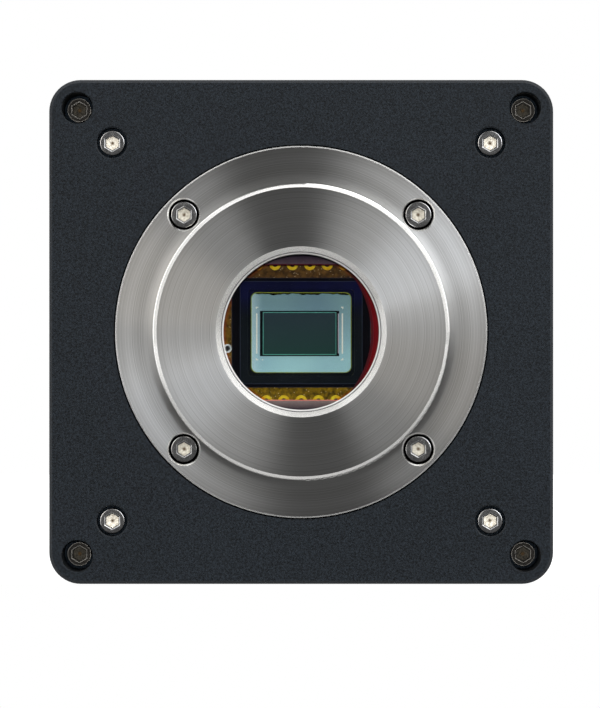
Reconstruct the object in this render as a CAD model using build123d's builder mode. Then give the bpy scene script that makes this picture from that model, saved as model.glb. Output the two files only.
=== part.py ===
"""Cooled astronomy camera: an 80 mm square body with a one-inch lens thread, built from its separate pieces.

Millimetres, +Z up. The front faces -Y. The origin is the centre of the lens-mount face, so a depth along
+Y is a distance behind that face, and the sensor surface lies at the depth of the lens register.
"""

from math import floor
from os import makedirs

from build123d import *

makedirs("parts", exist_ok=True)

# ---- driving dimensions: body
BODY_SIZE = 80.0
BODY_DEPTH = 45.5
BODY_CORNER_R = 5.0
EDGE_CHAMFER = 0.5
FRONT_HOUSING_DEPTH = 17.7
GASKET_T = 0.4
WALL = 3.0
REAR_COVER_T = 2.0

# ---- driving dimensions: lens mount
HUB_PROUD = 2.0
RING_PROUD = 0.3
RING_T = 3.5
RING_R = 29.5
RING_EDGE = 0.2
HUB_R = 23.3
HUB_CHAMFER = 0.45
HUB_COVE_R = 0.3
THREAD_R = 12.7
THREAD_LEAD_IN = 0.8
LENS_REGISTER = 17.526

# ---- driving dimensions: window, chamber and baffle
WINDOW_OVERLAP = 2.3
WINDOW_T = 1.1
WINDOW_SEAL_W = 1.4
WINDOW_FRONT_SEAL_T = 1.0
WINDOW_REAR_SEAL_T = 0.5
LIGHT_OPENING_OVERLAP = 0.7
WINDOW_WEB_T = 1.4
CHAMBER_R = 25.0
CHAMBER_WALL = 2.0
CHAMBER_SPIGOT = 0.8
CAVITY_R = 32.0
BAFFLE_T = 0.8
BAFFLE_TO_SENSOR = 3.526
BAFFLE_SLOT_H = 22.2
BAFFLE_HOLE_R = 15.8
BAFFLE_HOLE_X = -4.0
BAFFLE_LEDGE_W = 1.0
BAFFLE_LEDGE_T = 1.2
O_RING_W = 1.2
O_RING_T = 0.8
FLANGE_SEAL_OFFSET = 3.3

# ---- driving dimensions: sensor and its board
PACKAGE_W = 20.0
PACKAGE_H = 16.8
PACKAGE_T = 2.5
PACKAGE_CORNER_R = 0.3
PACKAGE_RIM_W = 1.775
PACKAGE_RIM_H = 1.8
CAVITY_CORNER_R = 1.05
DIE_W = 12.4
DIE_H = 7.4
DIE_T = 0.47
COVER_GLASS_T = 0.5
COVER_GLASS_RIM = 0.45
COVER_GLASS_CORNER_R = 0.6
DIE_TO_GLASS = 0.226
UNDERFILL_SIDE = 1.4
UNDERFILL_END = 0.6
UNDERFILL_T = 0.6
UNDERFILL_CORNER_R = 0.6
BOND_PAD_OFFSET = 0.8
BOND_PAD_W = 0.3
BOND_PAD_INSET = 0.4
BOND_PAD_T = 0.1
BOARD_SIDE = 5.1
BOARD_END = 4.5
BOARD_CORNER_R = 1.5
SENSOR_BOARD_T = 1.2
VIA_R = 0.95
VIA_HOLE_R = 0.425
VIA_T = 0.05
VIA_PITCH = 2.85
VIA_ROW_OFFSET = 2.2
VIA_TOP_COUNT = 8
VIA_BOTTOM_COUNT = 7
VIA_SPOT_OFFSET = 0.7
VIA_SPOT_Z = -2.6
BOARD_SCREW_INSET_X = 2.3
BOARD_SCREW_INSET_Z = 2.7
WASHER_T = 0.3

# ---- driving dimensions: cold finger and two-stage cooler
COLD_PLATE_T = 2.5
FINGER_W = 12.0
FINGER_H = 9.0
FINGER_CORNER_R = 0.5
COOLER_TOP_SIZE = 20.0
COOLER_MIDDLE_SIZE = 24.0
COOLER_BASE_SIZE = 30.0
CERAMIC_T = 0.6
PELLET_T = 1.2
PELLET_W = 1.6
PELLET_PITCH = 4.4
THERMAL_PAD_T = 0.4
LEAD_R = 0.45
LEAD_SPACING = 4.0
LEAD_TUCK = 1.5
THERMISTOR_W = 1.6
THERMISTOR_H = 0.9
THERMISTOR_T = 0.8
THERMISTOR_OFFSET = 3.0
DESICCANT_W = 14.0
DESICCANT_H = 4.3
DESICCANT_OFFSET = 1.0
DESICCANT_ROUND = 0.8

# ---- driving dimensions: heat sink and fan
SINK_MARGIN = 4.0
SINK_BASE_T = 3.0
FIN_T = 0.8
FIN_PITCH = 2.4
FIN_BAND_H = 44.0
FIN_MARGIN = 6.0
FIN_TO_FAN = 0.8
POST_R = 3.0
FAN_SIZE = 40.0
FAN_DEPTH = 7.0
FAN_CORNER_R = 3.0
FAN_WALL = 0.7
FAN_BASE_R = 9.4
FAN_BASE_T = 1.2
FAN_SPOKE_W = 1.8
FAN_SCREW_INSET = 4.0
FAN_SPOKE_BURIED = 0.2
FAN_BOARD_T = 0.5
ROTOR_HUB_R = 9.2
ROTOR_WALL = 0.8
ROTOR_TO_COVER = 0.4
ROTOR_TO_BASE = 0.6
BLADE_COUNT = 7
BLADE_T = 0.7
BLADE_HALF_CHORD = 4.2
BLADE_TIP_GAP = 0.5
MAGNET_T = 1.1
SHAFT_R = 0.75
BEARING_T = 1.4
BEARING_R = 1.9
TUBE_WALL = 0.7
STATOR_POLES = 4
STATOR_AIR_GAP = 0.6
STATOR_T = 1.8

# ---- driving dimensions: boards and connectors
MAIN_BOARD_T = 1.6
BOARD_TO_SOCKET = 0.1
SOCKET_T = 1.4
SOCKET_TO_CHAMBER = 2.0
CHIP_SIZE = 8.0
CHIP_T = 1.2
CHIP_INSET = 9.0
CHIP_Z = 18.5
INDUCTOR_SIZE = 5.0
INDUCTOR_T = 3.0
INDUCTOR_CORNER_R = 1.0
INDUCTOR_DROP = 1.7
INDUCTOR_TO_JACK = 1.3
INDUCTOR_TO_USB = 3.8
FLEX_W = 12.0
FLEX_T = 0.15
CONNECTOR_INSET = 9.5
USB_X = 10.0
USB_W = 12.0
USB_H = 10.5
USB_WALL = 0.4
USB_SHELL_LENGTH = 16.5
USB_SUNK = 0.2
USB_CORNER_R = 0.6
USB_TONGUE_W = 5.6
USB_TONGUE_H = 3.2
USB_TONGUE_SUNK = 1.0
JACK_X = -14.0
JACK_SIZE = 9.0
JACK_NOSE_R = 4.0
JACK_BORE_R = 3.15
JACK_BORE_DEPTH = 9.0
JACK_PIN_R = 1.0
JACK_PIN_SUNK = 0.8
JACK_PIN_ROUND = 0.4
LIGHT_X = -2.7
LIGHT_R = 1.25
TRIPOD_THREAD_R = 2.55
TRIPOD_BUSH_R = 4.5
TRIPOD_BUSH_LENGTH = 7.0
TRIPOD_DEPTH = 13.5

# ---- driving dimensions: fasteners (M2.5 unless named otherwise)
SCREW_R = 1.25
THREAD_GAP = 0.05
CLEARANCE_HOLE = 0.15
HOUSING_SCREW_INSET = 4.45
HOUSING_COUNTERBORE_R = 2.5
HOUSING_RIM_CHAMFER = 0.12
HOUSING_HEAD_R = 1.9
HOUSING_HEAD_T = 2.5
HOUSING_HEAD_SUNK = 5.0
HOUSING_SCREW_LENGTH = 20.0
BOSS_R = 3.5
CHAMBER_SCREW_INSET = 10.0
CHAMBER_COUNTERBORE_R = 2.415
CHAMBER_HEAD_R = 2.0
CHAMBER_HEAD_T = 2.0
CHAMBER_HEAD_SUNK = 0.5
CHAMBER_SCREW_LENGTH = 21.0
CHAMBER_RIM_CHAMFER = 0.21
FLANGE_SCREW_PITCH = 37.2
FLANGE_COUNTERBORE_R = 2.375
FLANGE_HEAD_R = 2.1
FLANGE_HEAD_T = 1.65
FLANGE_HEAD_SUNK = 0.45
FLANGE_SCREW_REACH = 2.4
FLANGE_RIM_CHAMFER = 0.275
HEX_FLATS = 2.0
HEX_DEPTH_SHARE = 0.6
COVER_HEX_FLATS = 1.6
COUNTERSINK_GAP = 0.1
HEAD_ROUND = 0.25
COVER_HEAD_R = 2.35
COVER_SCREW_LENGTH = 8.0
FAN_SCREW_LENGTH = 7.0
M2_R = 1.0
M2_HEAD_R = 1.75
M2_HEAD_T = 1.3
M2_HEX_FLATS = 1.5
M2_REACH = 1.8
TAP_SPARE = 0.4
STANDOFF_R = 2.2
STANDOFF_INSET_X = 7.0
STANDOFF_Z = 8.0

# ---- named clearances
SLIP = 0.02
RUNNING = 0.03
LOOSE = 0.25
GLASS_GAP = 0.05
ROOM = 0.5

# ---- depths worked out from the lens-mount face towards the rear
RING_FACE = HUB_PROUD
PLATE_FACE = RING_FACE + RING_PROUD
FLANGE_SEAT = RING_FACE + RING_T
WINDOW_FRONT = FLANGE_SEAT + WINDOW_FRONT_SEAL_T
WINDOW_REAR = WINDOW_FRONT + WINDOW_T
WINDOW_FLOOR = WINDOW_REAR + WINDOW_REAR_SEAL_T
CAVITY_FRONT = WINDOW_FLOOR + WINDOW_WEB_T
CHAMBER_FRONT = CAVITY_FRONT - CHAMBER_SPIGOT
BAFFLE_FRONT = LENS_REGISTER - BAFFLE_TO_SENSOR
BAFFLE_REAR = BAFFLE_FRONT + BAFFLE_T
COVER_GLASS_REAR = LENS_REGISTER - DIE_TO_GLASS
PACKAGE_FRONT = COVER_GLASS_REAR - COVER_GLASS_T
DIE_REAR = LENS_REGISTER + DIE_T
SENSOR_BOARD_FRONT = PACKAGE_FRONT + PACKAGE_T
SENSOR_BOARD_REAR = SENSOR_BOARD_FRONT + SENSOR_BOARD_T
COLD_PLATE_FRONT = SENSOR_BOARD_REAR + WASHER_T
COOLER_TOP = COLD_PLATE_FRONT + COLD_PLATE_T
UPPER_PELLET_FRONT = COOLER_TOP + CERAMIC_T
COOLER_MIDDLE = UPPER_PELLET_FRONT + PELLET_T
LOWER_PELLET_FRONT = COOLER_MIDDLE + CERAMIC_T
COOLER_BASE = LOWER_PELLET_FRONT + PELLET_T
THERMAL_PAD_FRONT = COOLER_BASE + CERAMIC_T
SINK_FRONT = THERMAL_PAD_FRONT + THERMAL_PAD_T
SINK_REAR = SINK_FRONT + SINK_BASE_T
JOINT_FRONT = PLATE_FACE + FRONT_HOUSING_DEPTH
JOINT_REAR = JOINT_FRONT + GASKET_T
REAR_FACE = PLATE_FACE + BODY_DEPTH
COVER_FRONT = REAR_FACE - REAR_COVER_T
FAN_FRONT = COVER_FRONT - FAN_DEPTH
FAN_BASE_REAR = FAN_FRONT + FAN_BASE_T
FINS_REAR = FAN_FRONT - FIN_TO_FAN
MAIN_BOARD_FRONT = SENSOR_BOARD_REAR + SOCKET_T + BOARD_TO_SOCKET
MAIN_BOARD_REAR = MAIN_BOARD_FRONT + MAIN_BOARD_T
FLEX_FRONT = SENSOR_BOARD_REAR + ROOM

# ---- places and sizes worked out from the driving dimensions
HALF = BODY_SIZE / 2
WINDOW_R = THREAD_R + WINDOW_OVERLAP
LIGHT_OPENING_R = THREAD_R + LIGHT_OPENING_OVERLAP
FLANGE_SEAL_R = WINDOW_R + FLANGE_SEAL_OFFSET
CAVITY_W = PACKAGE_W - 2 * PACKAGE_RIM_W
CAVITY_H = PACKAGE_H - 2 * PACKAGE_RIM_H
UNDERFILL_W = PACKAGE_W + 2 * UNDERFILL_SIDE
UNDERFILL_H = PACKAGE_H + 2 * UNDERFILL_END
BOND_PAD_X = DIE_W / 2 + BOND_PAD_OFFSET
BOND_PAD_H = DIE_H - 2 * BOND_PAD_INSET
SENSOR_BOARD_W = UNDERFILL_W + 2 * BOARD_SIDE
SENSOR_BOARD_H = UNDERFILL_H + 2 * BOARD_END
VIA_ROW_Z = UNDERFILL_H / 2 + VIA_ROW_OFFSET
BOARD_SCREW_X = SENSOR_BOARD_W / 2 - BOARD_SCREW_INSET_X
BOARD_SCREW_Z = SENSOR_BOARD_H / 2 - BOARD_SCREW_INSET_Z
FAN_BORE_R = FAN_SIZE / 2 - FAN_WALL
FAN_SCREW_PITCH = FAN_SIZE - 2 * FAN_SCREW_INSET
HOUSING_SCREW_PITCH = BODY_SIZE - 2 * HOUSING_SCREW_INSET
CHAMBER_SCREW_PITCH = BODY_SIZE - 2 * CHAMBER_SCREW_INSET
INNER_SIZE = BODY_SIZE - 2 * WALL
INNER_CORNER_R = BODY_CORNER_R - WALL
CHAMBER_BORE_R = CHAMBER_R - CHAMBER_WALL
CHAMBER_MID_R = CHAMBER_R - CHAMBER_WALL / 2
CONNECTOR_Z = CONNECTOR_INSET - HALF
MAIN_BOARD_SIZE = INNER_SIZE - 2 * ROOM
TAP_R = SCREW_R + THREAD_GAP
PASS_R = SCREW_R + CLEARANCE_HOLE
FLEX_START_Z = SENSOR_BOARD_H / 2 - ROOM
SINK_SIZE = BODY_SIZE - 2 * SINK_MARGIN
MAIN_SOCKET_Z = CHAMBER_R + SOCKET_TO_CHAMBER
LEAD_DEPTH = COOLER_BASE - LEAD_R - THREAD_GAP
LEAD_START_X = COOLER_BASE_SIZE / 2 - LEAD_TUCK
LEAD_END_X = CHAMBER_R + SOCKET_TO_CHAMBER
ROTOR_REAR = COVER_FRONT - ROTOR_TO_COVER
ROTOR_CUP_FLOOR = ROTOR_REAR - ROTOR_WALL
ROTOR_FRONT = FAN_BASE_REAR + ROTOR_TO_BASE
MAGNET_R = ROTOR_HUB_R - ROTOR_WALL - SLIP
STATOR_R = MAGNET_R - MAGNET_T - STATOR_AIR_GAP
TUBE_R = BEARING_R + SLIP + TUBE_WALL


def across(depth):
    """Plane square to the optical axis at a depth behind the mount face: local x is +X and local y is +Z."""
    return Plane.XZ.offset(-depth)


def square_of(pitch):
    """Four places on a square pattern about the optical axis."""
    return GridLocations(pitch, pitch, 2, 2)


def rims(piece, radius, depth):
    """Circular edges of a piece that have this radius and lie at this depth."""
    circles = piece.edges().filter_by(GeomType.CIRCLE)
    level = circles.filter_by_position(Axis.Y, depth - 0.001, depth + 0.001)
    return level.filter_by(lambda edge: abs(edge.radius - radius) < 0.001)


def plate(width, height, front, rear):
    """A plain rectangular plate about the optical axis."""
    with BuildPart() as piece:
        with BuildSketch(across(front)):
            Rectangle(width, height)
        extrude(amount=front - rear)
    return piece.part


def disc_ring(outer_r, inner_r, front, rear):
    """A flat ring about the optical axis."""
    with BuildPart() as piece:
        with BuildSketch(across(front)):
            Circle(outer_r)
            Circle(inner_r, mode=Mode.SUBTRACT)
        extrude(amount=front - rear)
    return piece.part


def cap_screws(pitch, face, head_r, head_t, length):
    """Four hexagon-socket cap screws on a square pattern, heads towards the front."""
    with BuildPart() as screws:
        with BuildSketch(across(face)):
            with square_of(pitch):
                Circle(head_r)
        extrude(amount=-head_t)
        fillet(rims(screws, head_r, face), HEAD_ROUND)
        with BuildSketch(across(face)):
            with square_of(pitch):
                RegularPolygon(HEX_FLATS / 2, 6, major_radius=False, rotation=30)
        extrude(amount=-head_t * HEX_DEPTH_SHARE, mode=Mode.SUBTRACT)
        with BuildSketch(across(face + head_t)):
            with square_of(pitch):
                Circle(SCREW_R)
        extrude(amount=-length)
    return screws.part


def countersunk_screws(pitch, face, length):
    """Four countersunk hexagon-socket screws on a square pattern, heads flush with a face at the rear."""
    seat = Plane(origin=(0, face, 0), x_dir=(1, 0, 0), z_dir=(0, 1, 0))
    cone = COVER_HEAD_R - SCREW_R
    top = (Align.CENTER, Align.CENTER, Align.MAX)
    with BuildPart() as screws:
        with Locations(seat):
            with square_of(pitch):
                Cone(SCREW_R, COVER_HEAD_R, cone, align=top)
                Cylinder(SCREW_R, length, align=top)
        with BuildSketch(seat):
            with square_of(pitch):
                RegularPolygon(COVER_HEX_FLATS / 2, 6, major_radius=False)
        extrude(amount=-cone, mode=Mode.SUBTRACT)
    return screws.part


def pellets(count, front):
    """A square field of semiconductor pellets between two ceramic plates of the cooler."""
    with BuildPart() as field:
        with BuildSketch(across(front)):
            with GridLocations(PELLET_PITCH, PELLET_PITCH, count, count):
                Rectangle(PELLET_W, PELLET_W)
        extrude(amount=-PELLET_T)
    return field.part


# ---- front housing: milled block that carries the lens mount, the window and the tripod bush
HOUSING_HEAD_SEAT = PLATE_FACE + HOUSING_HEAD_SUNK + HOUSING_HEAD_T
CHAMBER_HEAD_SEAT = PLATE_FACE + CHAMBER_HEAD_SUNK + CHAMBER_HEAD_T

with BuildPart() as front_housing:
    with BuildSketch(across(PLATE_FACE)):
        RectangleRounded(BODY_SIZE, BODY_SIZE, BODY_CORNER_R)
    extrude(amount=PLATE_FACE - JOINT_FRONT)
    chamfer(front_housing.edges().group_by(Axis.Y)[0], EDGE_CHAMFER)
    with BuildSketch(across(PLATE_FACE)):
        Circle(RING_R + LOOSE)
    extrude(amount=PLATE_FACE - FLANGE_SEAT, mode=Mode.SUBTRACT)
    with BuildSketch(across(FLANGE_SEAT)):
        Circle(FLANGE_SEAL_R + O_RING_W / 2 + THREAD_GAP)
        Circle(FLANGE_SEAL_R - O_RING_W / 2 - THREAD_GAP, mode=Mode.SUBTRACT)
    extrude(amount=-O_RING_T, mode=Mode.SUBTRACT)
    with BuildSketch(across(FLANGE_SEAT)):
        Circle(WINDOW_R + GLASS_GAP)
    extrude(amount=FLANGE_SEAT - WINDOW_FLOOR, mode=Mode.SUBTRACT)
    with BuildSketch(across(WINDOW_FLOOR)):
        Circle(LIGHT_OPENING_R)
    extrude(amount=WINDOW_FLOOR - CAVITY_FRONT, mode=Mode.SUBTRACT)
    with BuildSketch(across(CAVITY_FRONT)):
        Circle(CAVITY_R)
    extrude(amount=CAVITY_FRONT - JOINT_FRONT, mode=Mode.SUBTRACT)
    with BuildSketch(across(CHAMBER_FRONT)):
        Circle(CHAMBER_R + SLIP)
    extrude(amount=-CHAMBER_SPIGOT, mode=Mode.SUBTRACT)
    with BuildSketch(across(CHAMBER_FRONT)):
        Circle(CHAMBER_MID_R + O_RING_W / 2 + THREAD_GAP)
        Circle(CHAMBER_MID_R - O_RING_W / 2 - THREAD_GAP, mode=Mode.SUBTRACT)
    extrude(amount=O_RING_T, mode=Mode.SUBTRACT)
    with BuildSketch(across(PLATE_FACE)):
        with square_of(HOUSING_SCREW_PITCH):
            Circle(HOUSING_COUNTERBORE_R)
    extrude(amount=PLATE_FACE - HOUSING_HEAD_SEAT, mode=Mode.SUBTRACT)
    chamfer(rims(front_housing, HOUSING_COUNTERBORE_R, PLATE_FACE), HOUSING_RIM_CHAMFER)
    with BuildSketch(across(PLATE_FACE)):
        with square_of(CHAMBER_SCREW_PITCH):
            Circle(CHAMBER_COUNTERBORE_R)
    extrude(amount=PLATE_FACE - CHAMBER_HEAD_SEAT, mode=Mode.SUBTRACT)
    chamfer(rims(front_housing, CHAMBER_COUNTERBORE_R, PLATE_FACE), CHAMBER_RIM_CHAMFER)
    with BuildSketch(across(PLATE_FACE)):
        with square_of(HOUSING_SCREW_PITCH):
            Circle(PASS_R)
        with square_of(CHAMBER_SCREW_PITCH):
            Circle(PASS_R)
    extrude(amount=PLATE_FACE - JOINT_FRONT, mode=Mode.SUBTRACT)
    with BuildSketch(across(FLANGE_SEAT)):
        with square_of(FLANGE_SCREW_PITCH):
            Circle(TAP_R)
    extrude(amount=-FLANGE_SCREW_REACH - TAP_SPARE, mode=Mode.SUBTRACT)
    with BuildSketch(Plane.XY.offset(-HALF)):
        with Locations((0, TRIPOD_DEPTH)):
            Circle(TRIPOD_BUSH_R + SLIP)
    extrude(amount=TRIPOD_BUSH_LENGTH, mode=Mode.SUBTRACT)
front_housing.part.label = "front_housing"
export_step(front_housing.part, "parts/front_housing.step")

# ---- lens mount flange: turned ring with a raised hub and the lens thread
FLANGE_HEAD_SEAT = RING_FACE + FLANGE_HEAD_SUNK + FLANGE_HEAD_T

with BuildPart() as lens_mount_flange:
    with BuildSketch(across(RING_FACE)):
        Circle(RING_R)
    extrude(amount=-RING_T)
    chamfer(rims(lens_mount_flange, RING_R, RING_FACE), RING_EDGE)
    with BuildSketch(across(0)):
        Circle(HUB_R)
    extrude(amount=-HUB_PROUD)
    with BuildSketch(across(0)):
        Circle(THREAD_R)
    extrude(amount=-FLANGE_SEAT, mode=Mode.SUBTRACT)
    chamfer(rims(lens_mount_flange, THREAD_R, 0), THREAD_LEAD_IN)
    chamfer(rims(lens_mount_flange, HUB_R, 0), HUB_CHAMFER)
    fillet(rims(lens_mount_flange, HUB_R, HUB_PROUD), HUB_COVE_R)
    with BuildSketch(across(RING_FACE)):
        with square_of(FLANGE_SCREW_PITCH):
            Circle(FLANGE_COUNTERBORE_R)
    extrude(amount=RING_FACE - FLANGE_HEAD_SEAT, mode=Mode.SUBTRACT)
    chamfer(rims(lens_mount_flange, FLANGE_COUNTERBORE_R, RING_FACE), FLANGE_RIM_CHAMFER)
    with BuildSketch(across(RING_FACE)):
        with square_of(FLANGE_SCREW_PITCH):
            Circle(PASS_R)
    extrude(amount=-RING_T, mode=Mode.SUBTRACT)
lens_mount_flange.part.label = "lens_mount_flange"
export_step(lens_mount_flange.part, "parts/lens_mount_flange.step")

with BuildPart() as flange_screws:
    add(
        cap_screws(
            FLANGE_SCREW_PITCH,
            RING_FACE + FLANGE_HEAD_SUNK,
            FLANGE_HEAD_R,
            FLANGE_HEAD_T,
            FLANGE_SEAT + FLANGE_SCREW_REACH - FLANGE_HEAD_SEAT,
        )
    )
flange_screws.part.label = "flange_screws"
export_step(flange_screws.part, "parts/flange_screws.step")

# ---- the seal under the flange is a rounded rubber ring, squeezed flat on both faces
with BuildPart() as flange_seal:
    with BuildSketch(Plane.XY):
        with Locations((FLANGE_SEAL_R, FLANGE_SEAT + O_RING_T / 2)):
            RectangleRounded(O_RING_W, O_RING_T, O_RING_T / 3)
    revolve(axis=Axis.Y)
flange_seal.part.label = "flange_seal"
export_step(flange_seal.part, "parts/flange_seal.step")

# ---- protective window, clamped between two flat rubber rings
with BuildPart() as window_glass:
    with BuildSketch(across(WINDOW_FRONT)):
        Circle(WINDOW_R)
    extrude(amount=-WINDOW_T)
window_glass.part.label = "window_glass"
export_step(window_glass.part, "parts/window_glass.step")

with BuildPart() as window_seals:
    add(disc_ring(WINDOW_R, WINDOW_R - WINDOW_SEAL_W, FLANGE_SEAT, WINDOW_FRONT))
    add(disc_ring(WINDOW_R, WINDOW_R - WINDOW_SEAL_W, WINDOW_REAR, WINDOW_FLOOR))
window_seals.part.label = "window_seals"
export_step(window_seals.part, "parts/window_seals.step")

# ---- chamber wall: tube between housing and heat sink, with a ledge for the baffle
FLEX_SLOT_GAP = 0.4

with BuildPart() as chamber_wall:
    with BuildSketch(across(CHAMBER_FRONT)):
        Circle(CHAMBER_R)
        Circle(CHAMBER_BORE_R, mode=Mode.SUBTRACT)
    extrude(amount=CHAMBER_FRONT - SINK_FRONT)
    with BuildSketch(across(BAFFLE_REAR)):
        Circle(CHAMBER_BORE_R + SLIP)
        Circle(CHAMBER_BORE_R - BAFFLE_LEDGE_W, mode=Mode.SUBTRACT)
    extrude(amount=-BAFFLE_LEDGE_T)
    with BuildSketch(across(FLEX_FRONT - FLEX_SLOT_GAP)):
        with Locations((0, CHAMBER_R)):
            Rectangle(FLEX_W + 2 * FLEX_SLOT_GAP, 4 * CHAMBER_WALL)
    extrude(amount=-FLEX_T - 2 * FLEX_SLOT_GAP, mode=Mode.SUBTRACT)
    with BuildSketch(Plane.YZ.offset(CHAMBER_BORE_R - CHAMBER_WALL)):
        with Locations((LEAD_DEPTH, 0)):
            with GridLocations(1, LEAD_SPACING, 1, 2):
                Circle(2 * LEAD_R)
    extrude(amount=3 * CHAMBER_WALL, mode=Mode.SUBTRACT)
chamber_wall.part.label = "chamber_wall"
export_step(chamber_wall.part, "parts/chamber_wall.step")

with BuildPart() as chamber_seals:
    with BuildSketch(Plane.XY):
        with Locations((CHAMBER_MID_R, CHAMBER_FRONT - O_RING_T / 2), (CHAMBER_MID_R, SINK_FRONT + O_RING_T / 2)):
            RectangleRounded(O_RING_W, O_RING_T, O_RING_T / 3)
    revolve(axis=Axis.Y)
chamber_seals.part.label = "chamber_seals"
export_step(chamber_seals.part, "parts/chamber_seals.step")

# ---- potting around the ribbon and the two cooler leads, where they pass through the chamber wall
POTTING_Z = CHAMBER_BORE_R + SLIP

with BuildPart() as feedthrough_seals:
    with BuildSketch(across(FLEX_FRONT - FLEX_SLOT_GAP)):
        with Locations((0, POTTING_Z)):
            Rectangle(FLEX_W + 2 * FLEX_SLOT_GAP, CHAMBER_WALL / 2, align=(Align.CENTER, Align.MIN))
    extrude(amount=-FLEX_T - 2 * FLEX_SLOT_GAP)
    with BuildSketch(across(FLEX_FRONT)):
        with Locations((0, CHAMBER_R)):
            Rectangle(FLEX_W, 4 * CHAMBER_WALL)
    extrude(amount=-FLEX_T, mode=Mode.SUBTRACT)
    with BuildSketch(Plane.YZ.offset(POTTING_Z)):
        with Locations((LEAD_DEPTH, 0)):
            with GridLocations(1, LEAD_SPACING, 1, 2):
                Circle(2 * LEAD_R - SLIP)
                Circle(LEAD_R + SLIP, mode=Mode.SUBTRACT)
    extrude(amount=0.9 * CHAMBER_WALL)
feedthrough_seals.part.label = "feedthrough_seals"
export_step(feedthrough_seals.part, "parts/feedthrough_seals.step")

# ---- baffle: black disc whose opening is a round hole cut off straight above and below
with BuildPart() as baffle_plate:
    with BuildSketch(across(BAFFLE_FRONT)):
        Circle(CHAMBER_BORE_R - GLASS_GAP)
    extrude(amount=-BAFFLE_T)
    with BuildSketch(across(BAFFLE_FRONT)):
        with Locations((BAFFLE_HOLE_X, 0)):
            Circle(BAFFLE_HOLE_R)
        Rectangle(4 * BAFFLE_HOLE_R, BAFFLE_SLOT_H, mode=Mode.INTERSECT)
    extrude(amount=-BAFFLE_T, mode=Mode.SUBTRACT)
baffle_plate.part.label = "baffle_plate"
export_step(baffle_plate.part, "parts/baffle_plate.step")

# ---- image sensor: ceramic package with a cavity, the silicon in it, and its cover glass
GLASS_W = CAVITY_W + 2 * COVER_GLASS_RIM
GLASS_H = CAVITY_H + 2 * COVER_GLASS_RIM

with BuildPart() as sensor_package:
    with BuildSketch(across(PACKAGE_FRONT)):
        RectangleRounded(PACKAGE_W, PACKAGE_H, PACKAGE_CORNER_R)
    extrude(amount=-PACKAGE_T)
    with BuildSketch(across(PACKAGE_FRONT)):
        RectangleRounded(GLASS_W + 2 * GLASS_GAP, GLASS_H + 2 * GLASS_GAP, COVER_GLASS_CORNER_R)
    extrude(amount=PACKAGE_FRONT - COVER_GLASS_REAR, mode=Mode.SUBTRACT)
    with BuildSketch(across(COVER_GLASS_REAR)):
        RectangleRounded(CAVITY_W, CAVITY_H, CAVITY_CORNER_R)
    extrude(amount=COVER_GLASS_REAR - DIE_REAR, mode=Mode.SUBTRACT)
sensor_package.part.label = "sensor_package"
export_step(sensor_package.part, "parts/sensor_package.step")

with BuildPart() as sensor_die:
    with BuildSketch(across(LENS_REGISTER)):
        Rectangle(DIE_W, DIE_H)
    extrude(amount=-DIE_T)
sensor_die.part.label = "sensor_die"
export_step(sensor_die.part, "parts/sensor_die.step")

with BuildPart() as bond_pads:
    with BuildSketch(across(DIE_REAR - BOND_PAD_T)):
        with GridLocations(2 * BOND_PAD_X, 1, 2, 1):
            Rectangle(BOND_PAD_W, BOND_PAD_H)
    extrude(amount=-BOND_PAD_T)
bond_pads.part.label = "bond_pads"
export_step(bond_pads.part, "parts/bond_pads.step")

with BuildPart() as sensor_cover_glass:
    with BuildSketch(across(PACKAGE_FRONT)):
        RectangleRounded(GLASS_W, GLASS_H, COVER_GLASS_CORNER_R)
    extrude(amount=-COVER_GLASS_T)
sensor_cover_glass.part.label = "sensor_cover_glass"
export_step(sensor_cover_glass.part, "parts/sensor_cover_glass.step")

with BuildPart() as sensor_underfill:
    with BuildSketch(across(SENSOR_BOARD_FRONT - UNDERFILL_T)):
        RectangleRounded(UNDERFILL_W, UNDERFILL_H, UNDERFILL_CORNER_R)
        RectangleRounded(PACKAGE_W + SLIP, PACKAGE_H + SLIP, PACKAGE_CORNER_R, mode=Mode.SUBTRACT)
    extrude(amount=-UNDERFILL_T)
sensor_underfill.part.label = "sensor_underfill"
export_step(sensor_underfill.part, "parts/sensor_underfill.step")

# ---- sensor board: carries the package in front and a ribbon socket behind
VIA_SPOT = (-UNDERFILL_W / 2 - VIA_SPOT_OFFSET, VIA_SPOT_Z)

with BuildPart() as sensor_board:
    with BuildSketch(across(SENSOR_BOARD_FRONT)):
        RectangleRounded(SENSOR_BOARD_W, SENSOR_BOARD_H, BOARD_CORNER_R)
        Rectangle(FINGER_W + 2 * LOOSE, FINGER_H + 2 * LOOSE, mode=Mode.SUBTRACT)
        with Locations((0, VIA_ROW_Z)):
            with GridLocations(VIA_PITCH, 1, VIA_TOP_COUNT, 1):
                Circle(VIA_HOLE_R, mode=Mode.SUBTRACT)
        with Locations((0, -VIA_ROW_Z)):
            with GridLocations(VIA_PITCH, 1, VIA_BOTTOM_COUNT, 1):
                Circle(VIA_HOLE_R, mode=Mode.SUBTRACT)
        with Locations(VIA_SPOT):
            Circle(VIA_HOLE_R, mode=Mode.SUBTRACT)
        with GridLocations(2 * BOARD_SCREW_X, 2 * BOARD_SCREW_Z, 2, 2):
            Circle(M2_R + CLEARANCE_HOLE, mode=Mode.SUBTRACT)
    extrude(amount=-SENSOR_BOARD_T)
sensor_board.part.label = "sensor_board"
export_step(sensor_board.part, "parts/sensor_board.step")

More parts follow.
